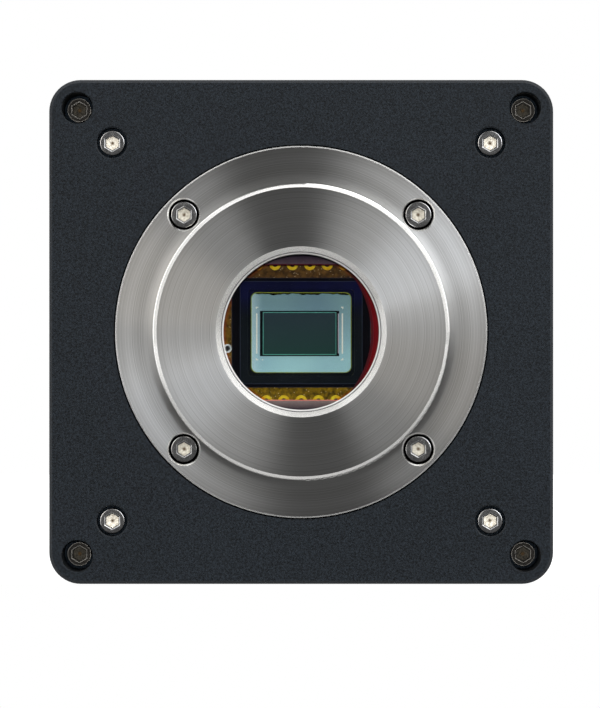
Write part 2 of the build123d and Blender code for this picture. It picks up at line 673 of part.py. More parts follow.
with BuildPart() as via_pads:
    with BuildSketch(across(SENSOR_BOARD_FRONT - VIA_T)):
        with Locations((0, VIA_ROW_Z)):
            with GridLocations(VIA_PITCH, 1, VIA_TOP_COUNT, 1):
                Circle(VIA_R)
                Circle(VIA_HOLE_R, mode=Mode.SUBTRACT)
        with Locations((0, -VIA_ROW_Z)):
            with GridLocations(VIA_PITCH, 1, VIA_BOTTOM_COUNT, 1):
                Circle(VIA_R)
                Circle(VIA_HOLE_R, mode=Mode.SUBTRACT)
        with Locations(VIA_SPOT):
            Circle(0.75 * VIA_R)
            Circle(VIA_HOLE_R, mode=Mode.SUBTRACT)
    extrude(amount=-VIA_T)
via_pads.part.label = "via_pads"
export_step(via_pads.part, "parts/via_pads.step")

with BuildPart() as sensor_board_screws:
    with BuildSketch(across(SENSOR_BOARD_FRONT - M2_HEAD_T)):
        with GridLocations(2 * BOARD_SCREW_X, 2 * BOARD_SCREW_Z, 2, 2):
            Circle(M2_HEAD_R)
    extrude(amount=-M2_HEAD_T)
    fillet(rims(sensor_board_screws, M2_HEAD_R, SENSOR_BOARD_FRONT - M2_HEAD_T), HEAD_ROUND)
    with BuildSketch(across(SENSOR_BOARD_FRONT - M2_HEAD_T)):
        with GridLocations(2 * BOARD_SCREW_X, 2 * BOARD_SCREW_Z, 2, 2):
            RegularPolygon(M2_HEX_FLATS / 2, 6, major_radius=False, rotation=30)
    extrude(amount=-M2_HEAD_T / 2, mode=Mode.SUBTRACT)
    with BuildSketch(across(SENSOR_BOARD_FRONT)):
        with GridLocations(2 * BOARD_SCREW_X, 2 * BOARD_SCREW_Z, 2, 2):
            Circle(M2_R)
    extrude(amount=-SENSOR_BOARD_T - WASHER_T - M2_REACH)
sensor_board_screws.part.label = "sensor_board_screws"
export_step(sensor_board_screws.part, "parts/sensor_board_screws.step")

with BuildPart() as board_washers:
    with BuildSketch(across(SENSOR_BOARD_REAR)):
        with GridLocations(2 * BOARD_SCREW_X, 2 * BOARD_SCREW_Z, 2, 2):
            Circle(M2_HEAD_R)
            Circle(M2_R + CLEARANCE_HOLE, mode=Mode.SUBTRACT)
    extrude(amount=-WASHER_T)
board_washers.part.label = "board_washers"
export_step(board_washers.part, "parts/board_washers.step")

# ---- cold finger: aluminium plate with a boss that reaches the back of the package
SOCKET_NOTCH_W = 20.0
SOCKET_H = 2.8

with BuildPart() as cold_finger:
    with BuildSketch(across(COLD_PLATE_FRONT)):
        RectangleRounded(SENSOR_BOARD_W, SENSOR_BOARD_H, BOARD_CORNER_R)
        with Locations((0, FLEX_START_Z - SOCKET_H - ROOM)):
            Rectangle(SOCKET_NOTCH_W, SENSOR_BOARD_H, align=(Align.CENTER, Align.MIN), mode=Mode.SUBTRACT)
        with GridLocations(2 * BOARD_SCREW_X, 2 * BOARD_SCREW_Z, 2, 2):
            Circle(M2_R + THREAD_GAP, mode=Mode.SUBTRACT)
    extrude(amount=-COLD_PLATE_T)
    with BuildSketch(across(SENSOR_BOARD_FRONT)):
        RectangleRounded(FINGER_W, FINGER_H, FINGER_CORNER_R)
    extrude(amount=SENSOR_BOARD_FRONT - COLD_PLATE_FRONT)
cold_finger.part.label = "cold_finger"
export_step(cold_finger.part, "parts/cold_finger.step")

with BuildPart() as thermistor:
    with BuildSketch(across(COOLER_TOP)):
        with Locations((-COOLER_TOP_SIZE / 2 - THERMISTOR_OFFSET, 0)):
            Rectangle(THERMISTOR_W, THERMISTOR_H)
    extrude(amount=-THERMISTOR_T)
thermistor.part.label = "thermistor"
export_step(thermistor.part, "parts/thermistor.step")

# ---- two-stage thermoelectric cooler: three ceramic plates and two fields of pellets
with BuildPart() as tec_cold_plate:
    add(plate(COOLER_TOP_SIZE, COOLER_TOP_SIZE, COOLER_TOP, UPPER_PELLET_FRONT))
tec_cold_plate.part.label = "tec_cold_plate"
export_step(tec_cold_plate.part, "parts/tec_cold_plate.step")

with BuildPart() as tec_upper_pellets:
    add(pellets(floor(COOLER_TOP_SIZE / PELLET_PITCH), UPPER_PELLET_FRONT))
tec_upper_pellets.part.label = "tec_upper_pellets"
export_step(tec_upper_pellets.part, "parts/tec_upper_pellets.step")

with BuildPart() as tec_middle_plate:
    add(plate(COOLER_MIDDLE_SIZE, COOLER_MIDDLE_SIZE, COOLER_MIDDLE, LOWER_PELLET_FRONT))
tec_middle_plate.part.label = "tec_middle_plate"
export_step(tec_middle_plate.part, "parts/tec_middle_plate.step")

with BuildPart() as tec_lower_pellets:
    add(pellets(floor(COOLER_MIDDLE_SIZE / PELLET_PITCH), LOWER_PELLET_FRONT))
tec_lower_pellets.part.label = "tec_lower_pellets"
export_step(tec_lower_pellets.part, "parts/tec_lower_pellets.step")

with BuildPart() as tec_hot_plate:
    add(plate(COOLER_BASE_SIZE, COOLER_BASE_SIZE, COOLER_BASE, THERMAL_PAD_FRONT))
tec_hot_plate.part.label = "tec_hot_plate"
export_step(tec_hot_plate.part, "parts/tec_hot_plate.step")

with BuildPart() as thermal_pad:
    add(plate(COOLER_BASE_SIZE, COOLER_BASE_SIZE, THERMAL_PAD_FRONT, SINK_FRONT))
thermal_pad.part.label = "thermal_pad"
export_step(thermal_pad.part, "parts/thermal_pad.step")

with BuildPart() as tec_leads:
    with BuildSketch(Plane.YZ.offset(LEAD_START_X)):
        with Locations((LEAD_DEPTH, 0)):
            with GridLocations(1, LEAD_SPACING, 1, 2):
                Circle(LEAD_R)
    extrude(amount=LEAD_END_X - LEAD_START_X)
tec_leads.part.label = "tec_leads"
export_step(tec_leads.part, "parts/tec_leads.step")

with BuildPart() as desiccant_pack:
    with BuildSketch(across(COOLER_TOP)):
        with Locations((0, -COOLER_BASE_SIZE / 2 - DESICCANT_OFFSET)):
            Rectangle(DESICCANT_W, DESICCANT_H, align=(Align.CENTER, Align.MAX))
    extrude(amount=COOLER_TOP - SINK_FRONT)
    fillet(desiccant_pack.edges().filter_by(Axis.X), DESICCANT_ROUND)
desiccant_pack.part.label = "desiccant_pack"
export_step(desiccant_pack.part, "parts/desiccant_pack.step")

# ---- heat sink: base plate, a band of fins behind it and four posts towards the front housing
OPEN_DOWN = (Align.CENTER, Align.MAX)
FAN_LEAD_X = 12.0
FAN_LEAD_R = 0.8
FAN_SOCKET_W = 5.0
FAN_SOCKET_H = 3.0
FAN_LEAD_Z = CHAMBER_R + 2 * ROOM + FAN_SOCKET_H / 2
FIN_COUNT = floor(FIN_BAND_H / FIN_PITCH) + 1
CHAMBER_SCREW_END = CHAMBER_HEAD_SEAT + CHAMBER_SCREW_LENGTH

with BuildPart() as heat_sink:
    with BuildSketch(across(SINK_FRONT)):
        Rectangle(SINK_SIZE, SINK_SIZE)
        with square_of(HOUSING_SCREW_PITCH):
            Circle(BOSS_R + ROOM, mode=Mode.SUBTRACT)
        with Locations((USB_X, CONNECTOR_Z + USB_H / 2 + ROOM)):
            Rectangle(USB_W + 2 * ROOM, HALF, align=OPEN_DOWN, mode=Mode.SUBTRACT)
        with Locations((JACK_X, CONNECTOR_Z + JACK_SIZE / 2 + ROOM)):
            Rectangle(JACK_SIZE + 2 * ROOM, HALF, align=OPEN_DOWN, mode=Mode.SUBTRACT)
        with Locations((LIGHT_X, CONNECTOR_Z)):
            Circle(LIGHT_R + ROOM, mode=Mode.SUBTRACT)
        with Locations((FAN_LEAD_X, FAN_LEAD_Z)):
            Circle(FAN_LEAD_R + ROOM, mode=Mode.SUBTRACT)
    extrude(amount=-SINK_BASE_T)
    with BuildSketch(across(SINK_REAR)):
        with GridLocations(1, FIN_PITCH, 1, FIN_COUNT):
            Rectangle(BODY_SIZE - 2 * FIN_MARGIN, FIN_T)
    extrude(amount=SINK_REAR - FINS_REAR)
    with BuildSketch(across(JOINT_FRONT)):
        with square_of(CHAMBER_SCREW_PITCH):
            Circle(POST_R)
    extrude(amount=JOINT_FRONT - SINK_FRONT)
    with BuildSketch(across(JOINT_FRONT)):
        with square_of(CHAMBER_SCREW_PITCH):
            Circle(TAP_R)
    extrude(amount=JOINT_FRONT - CHAMBER_SCREW_END - TAP_SPARE, mode=Mode.SUBTRACT)
    with BuildSketch(across(SINK_FRONT)):
        Circle(CHAMBER_MID_R + O_RING_W / 2 + THREAD_GAP)
        Circle(CHAMBER_MID_R - O_RING_W / 2 - THREAD_GAP, mode=Mode.SUBTRACT)
    extrude(amount=-O_RING_T, mode=Mode.SUBTRACT)
heat_sink.part.label = "heat_sink"
export_step(heat_sink.part, "parts/heat_sink.step")

with BuildPart() as chamber_screws:
    add(
        cap_screws(
            CHAMBER_SCREW_PITCH,
            PLATE_FACE + CHAMBER_HEAD_SUNK,
            CHAMBER_HEAD_R,
            CHAMBER_HEAD_T,
            CHAMBER_SCREW_LENGTH,
        )
    )
chamber_screws.part.label = "chamber_screws"
export_step(chamber_screws.part, "parts/chamber_screws.step")

# ---- main board: square board around the chamber, held on four pillars in front of the heat sink
STANDOFF_X = HALF - STANDOFF_INSET_X

with BuildPart() as main_board:
    with BuildSketch(across(MAIN_BOARD_FRONT)):
        Rectangle(MAIN_BOARD_SIZE, MAIN_BOARD_SIZE)
        Circle(CHAMBER_R + ROOM, mode=Mode.SUBTRACT)
        with square_of(HOUSING_SCREW_PITCH):
            Circle(BOSS_R + LOOSE, mode=Mode.SUBTRACT)
        with square_of(CHAMBER_SCREW_PITCH):
            Circle(POST_R + LOOSE, mode=Mode.SUBTRACT)
        with GridLocations(2 * STANDOFF_X, 2 * STANDOFF_Z, 2, 2):
            Circle(M2_R + THREAD_GAP, mode=Mode.SUBTRACT)
    extrude(amount=-MAIN_BOARD_T)
main_board.part.label = "main_board"
export_step(main_board.part, "parts/main_board.step")

with BuildPart() as board_standoffs:
    with BuildSketch(across(MAIN_BOARD_REAR)):
        with GridLocations(2 * STANDOFF_X, 2 * STANDOFF_Z, 2, 2):
            RegularPolygon(STANDOFF_R, 6)
    extrude(amount=MAIN_BOARD_REAR - SINK_FRONT)
    with BuildSketch(across(MAIN_BOARD_FRONT)):
        with GridLocations(2 * STANDOFF_X, 2 * STANDOFF_Z, 2, 2):
            Circle(M2_R)
    extrude(amount=-MAIN_BOARD_T)
board_standoffs.part.label = "board_standoffs"
export_step(board_standoffs.part, "parts/board_standoffs.step")

CHIP_X = HALF - CHIP_INSET

with BuildPart() as board_chips:
    with BuildSketch(across(MAIN_BOARD_REAR)):
        with GridLocations(2 * CHIP_X, 2 * CHIP_Z, 2, 2):
            Rectangle(CHIP_SIZE, CHIP_SIZE)
    extrude(amount=-CHIP_T)
board_chips.part.label = "board_chips"
export_step(board_chips.part, "parts/board_chips.step")

INDUCTOR_Z = CONNECTOR_Z - INDUCTOR_DROP
LEFT_INDUCTOR_X = JACK_X - (JACK_SIZE + INDUCTOR_SIZE) / 2 - INDUCTOR_TO_JACK
RIGHT_INDUCTOR_X = USB_X + (USB_W + INDUCTOR_SIZE) / 2 + INDUCTOR_TO_USB

with BuildPart() as power_inductors:
    with BuildSketch(across(MAIN_BOARD_REAR)):
        with Locations((LEFT_INDUCTOR_X, INDUCTOR_Z), (RIGHT_INDUCTOR_X, INDUCTOR_Z)):
            RectangleRounded(INDUCTOR_SIZE, INDUCTOR_SIZE, INDUCTOR_CORNER_R)
    extrude(amount=-INDUCTOR_T)
power_inductors.part.label = "power_inductors"
export_step(power_inductors.part, "parts/power_inductors.step")

# ---- sockets: two for the sensor ribbon, one for the fan lead and one for the cooler leads
SOCKET_W = 16.0
FAN_SOCKET_T = 2.5
LEAD_SOCKET_T = SINK_FRONT - MAIN_BOARD_REAR - ROOM

with BuildPart() as board_sockets:
    with BuildSketch(across(SENSOR_BOARD_REAR)):
        with Locations((0, FLEX_START_Z)):
            Rectangle(SOCKET_W, SOCKET_H, align=(Align.CENTER, Align.MAX))
    extrude(amount=-SOCKET_T)
    with BuildSketch(across(MAIN_BOARD_FRONT)):
        with Locations((0, MAIN_SOCKET_Z)):
            Rectangle(SOCKET_W, SOCKET_H, align=(Align.CENTER, Align.MIN))
    extrude(amount=SOCKET_T)
    with BuildSketch(across(MAIN_BOARD_REAR)):
        with Locations((FAN_LEAD_X, FAN_LEAD_Z)):
            Rectangle(FAN_SOCKET_W, FAN_SOCKET_H)
    extrude(amount=-FAN_SOCKET_T)
    with BuildSketch(across(MAIN_BOARD_REAR)):
        with Locations((LEAD_END_X, 0)):
            Rectangle(FAN_SOCKET_W, 2 * LEAD_SPACING, align=(Align.MIN, Align.CENTER))
    extrude(amount=-LEAD_SOCKET_T)
board_sockets.part.label = "board_sockets"
export_step(board_sockets.part, "parts/board_sockets.step")

with BuildPart() as sensor_flex:
    with BuildSketch(across(FLEX_FRONT)):
        with Locations((0, FLEX_START_Z)):
            Rectangle(FLEX_W, MAIN_SOCKET_Z - FLEX_START_Z, align=(Align.CENTER, Align.MIN))
    extrude(amount=-FLEX_T)
sensor_flex.part.label = "sensor_flex"
export_step(sensor_flex.part, "parts/sensor_flex.step")

# ---- rear housing: square tube with a boss in each corner and vents beside the fins
HOUSING_SCREW_END = HOUSING_HEAD_SEAT + HOUSING_SCREW_LENGTH
VENT_W = 2.2
VENT_LENGTH = 6.4
VENT_PITCH = 2 * FIN_PITCH
VENT_COUNT = 2 * floor(FIN_BAND_H / 2 / VENT_PITCH) + 1

with BuildPart() as rear_housing:
    with BuildSketch(across(JOINT_REAR)):
        RectangleRounded(BODY_SIZE, BODY_SIZE, BODY_CORNER_R)
        RectangleRounded(INNER_SIZE, INNER_SIZE, INNER_CORNER_R, mode=Mode.SUBTRACT)
        with square_of(HOUSING_SCREW_PITCH):
            Circle(BOSS_R)
    extrude(amount=JOINT_REAR - COVER_FRONT)
    with BuildSketch(across(JOINT_REAR)):
        with square_of(HOUSING_SCREW_PITCH):
            Circle(TAP_R)
    extrude(amount=JOINT_REAR - HOUSING_SCREW_END - TAP_SPARE, mode=Mode.SUBTRACT)
    with BuildSketch(across(COVER_FRONT)):
        with square_of(HOUSING_SCREW_PITCH):
            Circle(TAP_R)
    extrude(amount=COVER_SCREW_LENGTH - REAR_COVER_T + TAP_SPARE, mode=Mode.SUBTRACT)
    with BuildSketch(Plane.YZ):
        with Locations(((SINK_REAR + FINS_REAR) / 2, 0)):
            with GridLocations(1, VENT_PITCH, 1, VENT_COUNT):
                SlotOverall(VENT_LENGTH, VENT_W)
    extrude(amount=BODY_SIZE, both=True, mode=Mode.SUBTRACT)
rear_housing.part.label = "rear_housing"
export_step(rear_housing.part, "parts/rear_housing.step")

with BuildPart() as housing_gasket:
    with BuildSketch(across(JOINT_FRONT)):
        RectangleRounded(BODY_SIZE - 2 * LOOSE, BODY_SIZE - 2 * LOOSE, BODY_CORNER_R - LOOSE)
        RectangleRounded(INNER_SIZE, INNER_SIZE, INNER_CORNER_R, mode=Mode.SUBTRACT)
        with square_of(HOUSING_SCREW_PITCH):
            Circle(BOSS_R)
        with square_of(HOUSING_SCREW_PITCH):
            Circle(PASS_R, mode=Mode.SUBTRACT)
    extrude(amount=-GASKET_T)
housing_gasket.part.label = "housing_gasket"
export_step(housing_gasket.part, "parts/housing_gasket.step")

with BuildPart() as housing_screws:
    add(
        cap_screws(
            HOUSING_SCREW_PITCH,
            PLATE_FACE + HOUSING_HEAD_SUNK,
            HOUSING_HEAD_R,
            HOUSING_HEAD_T,
            HOUSING_SCREW_LENGTH,
        )
    )
housing_screws.part.label = "housing_screws"
export_step(housing_screws.part, "parts/housing_screws.step")

# ---- rear cover: plate with the fan grille and the openings for the connectors
GRILLE_SLOT_W = 2.0
GRILLE_RIB_W = 1.2
GRILLE_SPOKE_W = 2.0
GRILLE_SPOKES = 3
GRILLE_RINGS = 5
REAR_PLANE = Plane(origin=(0, REAR_FACE, 0), x_dir=(1, 0, 0), z_dir=(0, 1, 0))

with BuildPart() as rear_cover:
    with BuildSketch(across(COVER_FRONT)):
        RectangleRounded(BODY_SIZE, BODY_SIZE, BODY_CORNER_R)
    extrude(amount=-REAR_COVER_T)
    chamfer(rear_cover.edges().group_by(Axis.Y)[-1], EDGE_CHAMFER)
    with BuildSketch(across(COVER_FRONT)):
        for ring in range(GRILLE_RINGS):
            slot_outer_r = FAN_BORE_R - ROOM - ring * (GRILLE_SLOT_W + GRILLE_RIB_W)
            Circle(slot_outer_r)
            Circle(slot_outer_r - GRILLE_SLOT_W, mode=Mode.SUBTRACT)
        for spoke in range(GRILLE_SPOKES):
            Rectangle(2 * FAN_BORE_R, GRILLE_SPOKE_W, rotation=180 / GRILLE_SPOKES * spoke, mode=Mode.SUBTRACT)
    extrude(amount=-REAR_COVER_T, mode=Mode.SUBTRACT)
    with BuildSketch(across(COVER_FRONT)):
        with Locations((USB_X, CONNECTOR_Z)):
            RectangleRounded(USB_W + 2 * LOOSE, USB_H + 2 * LOOSE, USB_CORNER_R + LOOSE)
        with Locations((JACK_X, CONNECTOR_Z)):
            Circle(JACK_NOSE_R + LOOSE)
        with Locations((LIGHT_X, CONNECTOR_Z)):
            Circle(LIGHT_R + THREAD_GAP)
    extrude(amount=-REAR_COVER_T, mode=Mode.SUBTRACT)
    with Locations(REAR_PLANE):
        with square_of(HOUSING_SCREW_PITCH):
            CounterSinkHole(SCREW_R + COUNTERSINK_GAP, COVER_HEAD_R + COUNTERSINK_GAP, REAR_COVER_T, 90)
        with square_of(FAN_SCREW_PITCH):
            CounterSinkHole(SCREW_R + COUNTERSINK_GAP, COVER_HEAD_R + COUNTERSINK_GAP, REAR_COVER_T, 90)
rear_cover.part.label = "rear_cover"
export_step(rear_cover.part, "parts/rear_cover.step")

with BuildPart() as rear_cover_screws:
    add(countersunk_screws(HOUSING_SCREW_PITCH, REAR_FACE, COVER_SCREW_LENGTH))
rear_cover_screws.part.label = "rear_cover_screws"
export_step(rear_cover_screws.part, "parts/rear_cover_screws.step")

# ---- fan: frame with base disc and spokes on the heat-sink side
with BuildPart() as fan_frame:
    with BuildSketch(across(FAN_FRONT)):
        RectangleRounded(FAN_SIZE, FAN_SIZE, FAN_CORNER_R)
        Circle(FAN_BORE_R, mode=Mode.SUBTRACT)
        with square_of(FAN_SCREW_PITCH):
            Circle(TAP_R, mode=Mode.SUBTRACT)
    extrude(amount=-FAN_DEPTH)
    with BuildSketch(across(FAN_FRONT)):
        Circle(FAN_BASE_R)
        Rectangle(2 * (FAN_BORE_R + FAN_SPOKE_BURIED), FAN_SPOKE_W, rotation=45)
        Rectangle(2 * (FAN_BORE_R + FAN_SPOKE_BURIED), FAN_SPOKE_W, rotation=-45)
    extrude(amount=-FAN_BASE_T)
fan_frame.part.label = "fan_frame"
export_step(fan_frame.part, "parts/fan_frame.step")

with BuildPart() as fan_screws:
    add(countersunk_screws(FAN_SCREW_PITCH, REAR_FACE, FAN_SCREW_LENGTH))
fan_screws.part.label = "fan_screws"
export_step(fan_screws.part, "parts/fan_screws.step")

# ---- fan bearings: brass tube on the base disc, with a bearing at each end
TUBE_REAR = ROTOR_CUP_FLOOR - RUNNING * 10
BEARING_R_IN = SHAFT_R + RUNNING

with BuildPart() as fan_bearing_tube:
    add(disc_ring(TUBE_R, BEARING_R + SLIP, FAN_BASE_REAR, TUBE_REAR))
fan_bearing_tube.part.label = "fan_bearing_tube"
export_step(fan_bearing_tube.part, "parts/fan_bearing_tube.step")

with BuildPart() as fan_bearings:
    add(disc_ring(BEARING_R, BEARING_R_IN, FAN_BASE_REAR, FAN_BASE_REAR + BEARING_T))
    add(disc_ring(BEARING_R, BEARING_R_IN, TUBE_REAR - BEARING_T, TUBE_REAR))
fan_bearings.part.label = "fan_bearings"
export_step(fan_bearings.part, "parts/fan_bearings.step")

# ---- fan motor: circuit board, laminated stator with its poles, one coil round each pole
STATOR_YOKE_T = 0.8
POLE_W = 1.6
POLE_SHOE_T = 0.7
COIL_T = 0.55
COIL_TO_YOKE = 0.1
COIL_TO_SHOE = 0.3
COIL_TO_BOARD = 0.15
STATOR_FRONT = FAN_BASE_REAR + FAN_BOARD_T + COIL_T + COIL_TO_BOARD
STATOR_YOKE_R = TUBE_R + SLIP + STATOR_YOKE_T
COIL_START = STATOR_YOKE_R + COIL_TO_YOKE
COIL_END = STATOR_R - POLE_SHOE_T - COIL_TO_SHOE

with BuildPart() as fan_board:
    add(disc_ring(ROTOR_HUB_R - ROTOR_WALL - ROOM, TUBE_R + SLIP, FAN_BASE_REAR, FAN_BASE_REAR + FAN_BOARD_T))
fan_board.part.label = "fan_board"
export_step(fan_board.part, "parts/fan_board.step")

with BuildPart() as fan_stator:
    with BuildSketch(across(STATOR_FRONT)):
        Circle(STATOR_R)
        Circle(STATOR_R - POLE_SHOE_T, mode=Mode.SUBTRACT)
        Rectangle(2 * STATOR_R, 2 * POLE_W, rotation=45, mode=Mode.SUBTRACT)
        Rectangle(2 * STATOR_R, 2 * POLE_W, rotation=-45, mode=Mode.SUBTRACT)
        Rectangle(2 * STATOR_R - POLE_SHOE_T, POLE_W)
        Rectangle(POLE_W, 2 * STATOR_R - POLE_SHOE_T)
        Circle(STATOR_YOKE_R)
        Circle(TUBE_R + SLIP, mode=Mode.SUBTRACT)
    extrude(amount=-STATOR_T)
fan_stator.part.label = "fan_stator"
export_step(fan_stator.part, "parts/fan_stator.step")

with BuildPart() as fan_coils:
    for pole in range(STATOR_POLES):
        outward = Vector(1, 0, 0).rotate(Axis.Y, 360 / STATOR_POLES * pole)
        root = outward * COIL_START + Vector(0, STATOR_FRONT + STATOR_T / 2, 0)
        with BuildSketch(Plane(origin=root, x_dir=(0, 1, 0), z_dir=outward)):
            Rectangle(STATOR_T + 2 * COIL_T, POLE_W + 2 * COIL_T)
            Rectangle(STATOR_T + 2 * SLIP, POLE_W + 2 * SLIP, mode=Mode.SUBTRACT)
        extrude(amount=COIL_END - COIL_START)
fan_coils.part.label = "fan_coils"
export_step(fan_coils.part, "parts/fan_coils.step")

# ---- fan rotor: cup with pitched blades; the magnet and the shaft turn with it
SHAFT_SEAT = ROTOR_CUP_FLOOR + 0.6 * ROTOR_WALL
BLADE_ROOT_R = ROTOR_HUB_R - 2 * ROTOR_WALL
BLADE_SUNK = 0.2
MAGNET_SUNK = 0.2
SHAFT_END_GAP = 0.1

with BuildPart() as fan_rotor:
    with BuildSketch(across(ROTOR_FRONT)):
        Circle(ROTOR_HUB_R)
    extrude(amount=ROTOR_FRONT - ROTOR_REAR)
    for blade in range(BLADE_COUNT):
        outward = Vector(0, 0, 1).rotate(Axis.Y, 360 / BLADE_COUNT * blade)
        sideways = Vector(1, 0, 0).rotate(Axis.Y, 360 / BLADE_COUNT * blade)
        root = outward * BLADE_ROOT_R + Vector(0, ROTOR_FRONT, 0)
        rise = ROTOR_REAR - ROTOR_FRONT - BLADE_SUNK
        with BuildSketch(Plane(origin=root, x_dir=sideways, z_dir=outward)):
            Polygon(
                (-BLADE_HALF_CHORD - BLADE_T, 0),
                (-BLADE_HALF_CHORD + BLADE_T, 0),
                (BLADE_HALF_CHORD + BLADE_T, rise),
                (BLADE_HALF_CHORD - BLADE_T, rise),
                align=None,
            )
        extrude(amount=FAN_BORE_R - BLADE_ROOT_R)
    with BuildSketch(across(ROTOR_FRONT)):
        Circle(FAN_BORE_R - BLADE_TIP_GAP)
    extrude(amount=ROTOR_FRONT - ROTOR_REAR, mode=Mode.INTERSECT)
    with BuildSketch(across(ROTOR_FRONT)):
        Circle(ROTOR_HUB_R - ROTOR_WALL)
    extrude(amount=ROTOR_FRONT - ROTOR_CUP_FLOOR, mode=Mode.SUBTRACT)
    with BuildSketch(across(ROTOR_CUP_FLOOR)):
        Circle(SHAFT_R + SLIP)
    extrude(amount=ROTOR_CUP_FLOOR - SHAFT_SEAT, mode=Mode.SUBTRACT)
fan_rotor.part.label = "fan_rotor"
export_step(fan_rotor.part, "parts/fan_rotor.step")

with BuildPart() as fan_magnet:
    add(disc_ring(MAGNET_R, MAGNET_R - MAGNET_T, ROTOR_FRONT + MAGNET_SUNK, ROTOR_CUP_FLOOR))
fan_magnet.part.label = "fan_magnet"
export_step(fan_magnet.part, "parts/fan_magnet.step")

with BuildPart() as fan_shaft:
    with BuildSketch(across(FAN_BASE_REAR + SHAFT_END_GAP)):
        Circle(SHAFT_R)
    extrude(amount=FAN_BASE_REAR + SHAFT_END_GAP - SHAFT_SEAT)
fan_shaft.part.label = "fan_shaft"
export_step(fan_shaft.part, "parts/fan_shaft.step")

# ---- fan lead: from the side of the frame, round the fins and through the heat sink to its socket
LEAD_LEAVES = FAN_FRONT + 2.0
LEAD_BEND_R = 3.0

with BuildPart() as fan_lead:
    with BuildLine():
        FilletPolyline(
            (FAN_LEAD_X, LEAD_LEAVES, FAN_SIZE / 2),
            (FAN_LEAD_X, LEAD_LEAVES, FAN_LEAD_Z),
            (FAN_LEAD_X, MAIN_BOARD_REAR + FAN_SOCKET_T, FAN_LEAD_Z),
            radius=LEAD_BEND_R,
        )
    with BuildSketch(Plane(origin=(FAN_LEAD_X, LEAD_LEAVES, FAN_SIZE / 2), z_dir=(0, 0, 1))):
        Circle(FAN_LEAD_R)
    sweep()
fan_lead.part.label = "fan_lead"
export_step(fan_lead.part, "parts/fan_lead.step")

# ---- connectors: data port, power jack and status light, standing on the main board
USB_SHELL_FRONT = REAR_FACE - USB_SUNK - USB_SHELL_LENGTH
JACK_SHOULDER = COVER_FRONT

with BuildPart() as usb_shell:
    with BuildSketch(across(USB_SHELL_FRONT)):
        with Locations((USB_X, CONNECTOR_Z)):
            RectangleRounded(USB_W, USB_H, USB_CORNER_R)
            RectangleRounded(USB_W - 2 * USB_WALL, USB_H - 2 * USB_WALL, USB_CORNER_R / 2, mode=Mode.SUBTRACT)
    extrude(amount=-USB_SHELL_LENGTH)
usb_shell.part.label = "usb_shell"
export_step(usb_shell.part, "parts/usb_shell.step")

with BuildPart() as usb_tongue:
    with BuildSketch(across(MAIN_BOARD_REAR)):
        with Locations((USB_X, CONNECTOR_Z)):
            RectangleRounded(USB_W, USB_H, USB_CORNER_R)
    extrude(amount=MAIN_BOARD_REAR - USB_SHELL_FRONT)
    with BuildSketch(across(USB_SHELL_FRONT)):
        with Locations((USB_X, CONNECTOR_Z)):
            Rectangle(USB_TONGUE_W, USB_TONGUE_H)
    extrude(amount=-USB_SHELL_LENGTH + USB_TONGUE_SUNK)
usb_tongue.part.label = "usb_tongue"
export_step(usb_tongue.part, "parts/usb_tongue.step")

with BuildPart() as power_jack:
    with BuildSketch(across(MAIN_BOARD_REAR)):
        with Locations((JACK_X, CONNECTOR_Z)):
            Rectangle(JACK_SIZE, JACK_SIZE)
    extrude(amount=MAIN_BOARD_REAR - JACK_SHOULDER)
    with BuildSketch(across(JACK_SHOULDER)):
        with Locations((JACK_X, CONNECTOR_Z)):
            Circle(JACK_NOSE_R)
    extrude(amount=JACK_SHOULDER - REAR_FACE)
    with BuildSketch(across(REAR_FACE)):
        with Locations((JACK_X, CONNECTOR_Z)):
            Circle(JACK_BORE_R)
    extrude(amount=JACK_BORE_DEPTH, mode=Mode.SUBTRACT)
power_jack.part.label = "power_jack"
export_step(power_jack.part, "parts/power_jack.step")

with BuildPart() as power_jack_pin:
    with BuildSketch(across(REAR_FACE - JACK_BORE_DEPTH)):
        with Locations((JACK_X, CONNECTOR_Z)):
            Circle(JACK_PIN_R)
    extrude(amount=-JACK_BORE_DEPTH + JACK_PIN_SUNK)
    fillet(rims(power_jack_pin, JACK_PIN_R, REAR_FACE - JACK_PIN_SUNK), JACK_PIN_ROUND)
power_jack_pin.part.label = "power_jack_pin"
export_step(power_jack_pin.part, "parts/power_jack_pin.step")

with BuildPart() as status_light:
    with BuildSketch(across(MAIN_BOARD_REAR)):
        with Locations((LIGHT_X, CONNECTOR_Z)):
            Circle(LIGHT_R)
    extrude(amount=MAIN_BOARD_REAR - REAR_FACE)
status_light.part.label = "status_light"
export_step(status_light.part, "parts/status_light.step")

# ---- tripod bush: threaded steel insert pressed into the underside
with BuildPart() as tripod_bush:
    with BuildSketch(Plane.XY.offset(-HALF)):
        with Locations((0, TRIPOD_DEPTH)):
            Circle(TRIPOD_BUSH_R)
            Circle(TRIPOD_THREAD_R, mode=Mode.SUBTRACT)
    extrude(amount=TRIPOD_BUSH_LENGTH)
tripod_bush.part.label = "tripod_bush"
export_step(tripod_bush.part, "parts/tripod_bush.step")
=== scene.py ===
"""Cooled astronomy camera, dressed for rendering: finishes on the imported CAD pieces, and the fine pieces
that CAD leaves out. Everything is in metres, in the CAD frame: -Y is the front, +Z is up."""
from math import pi, radians

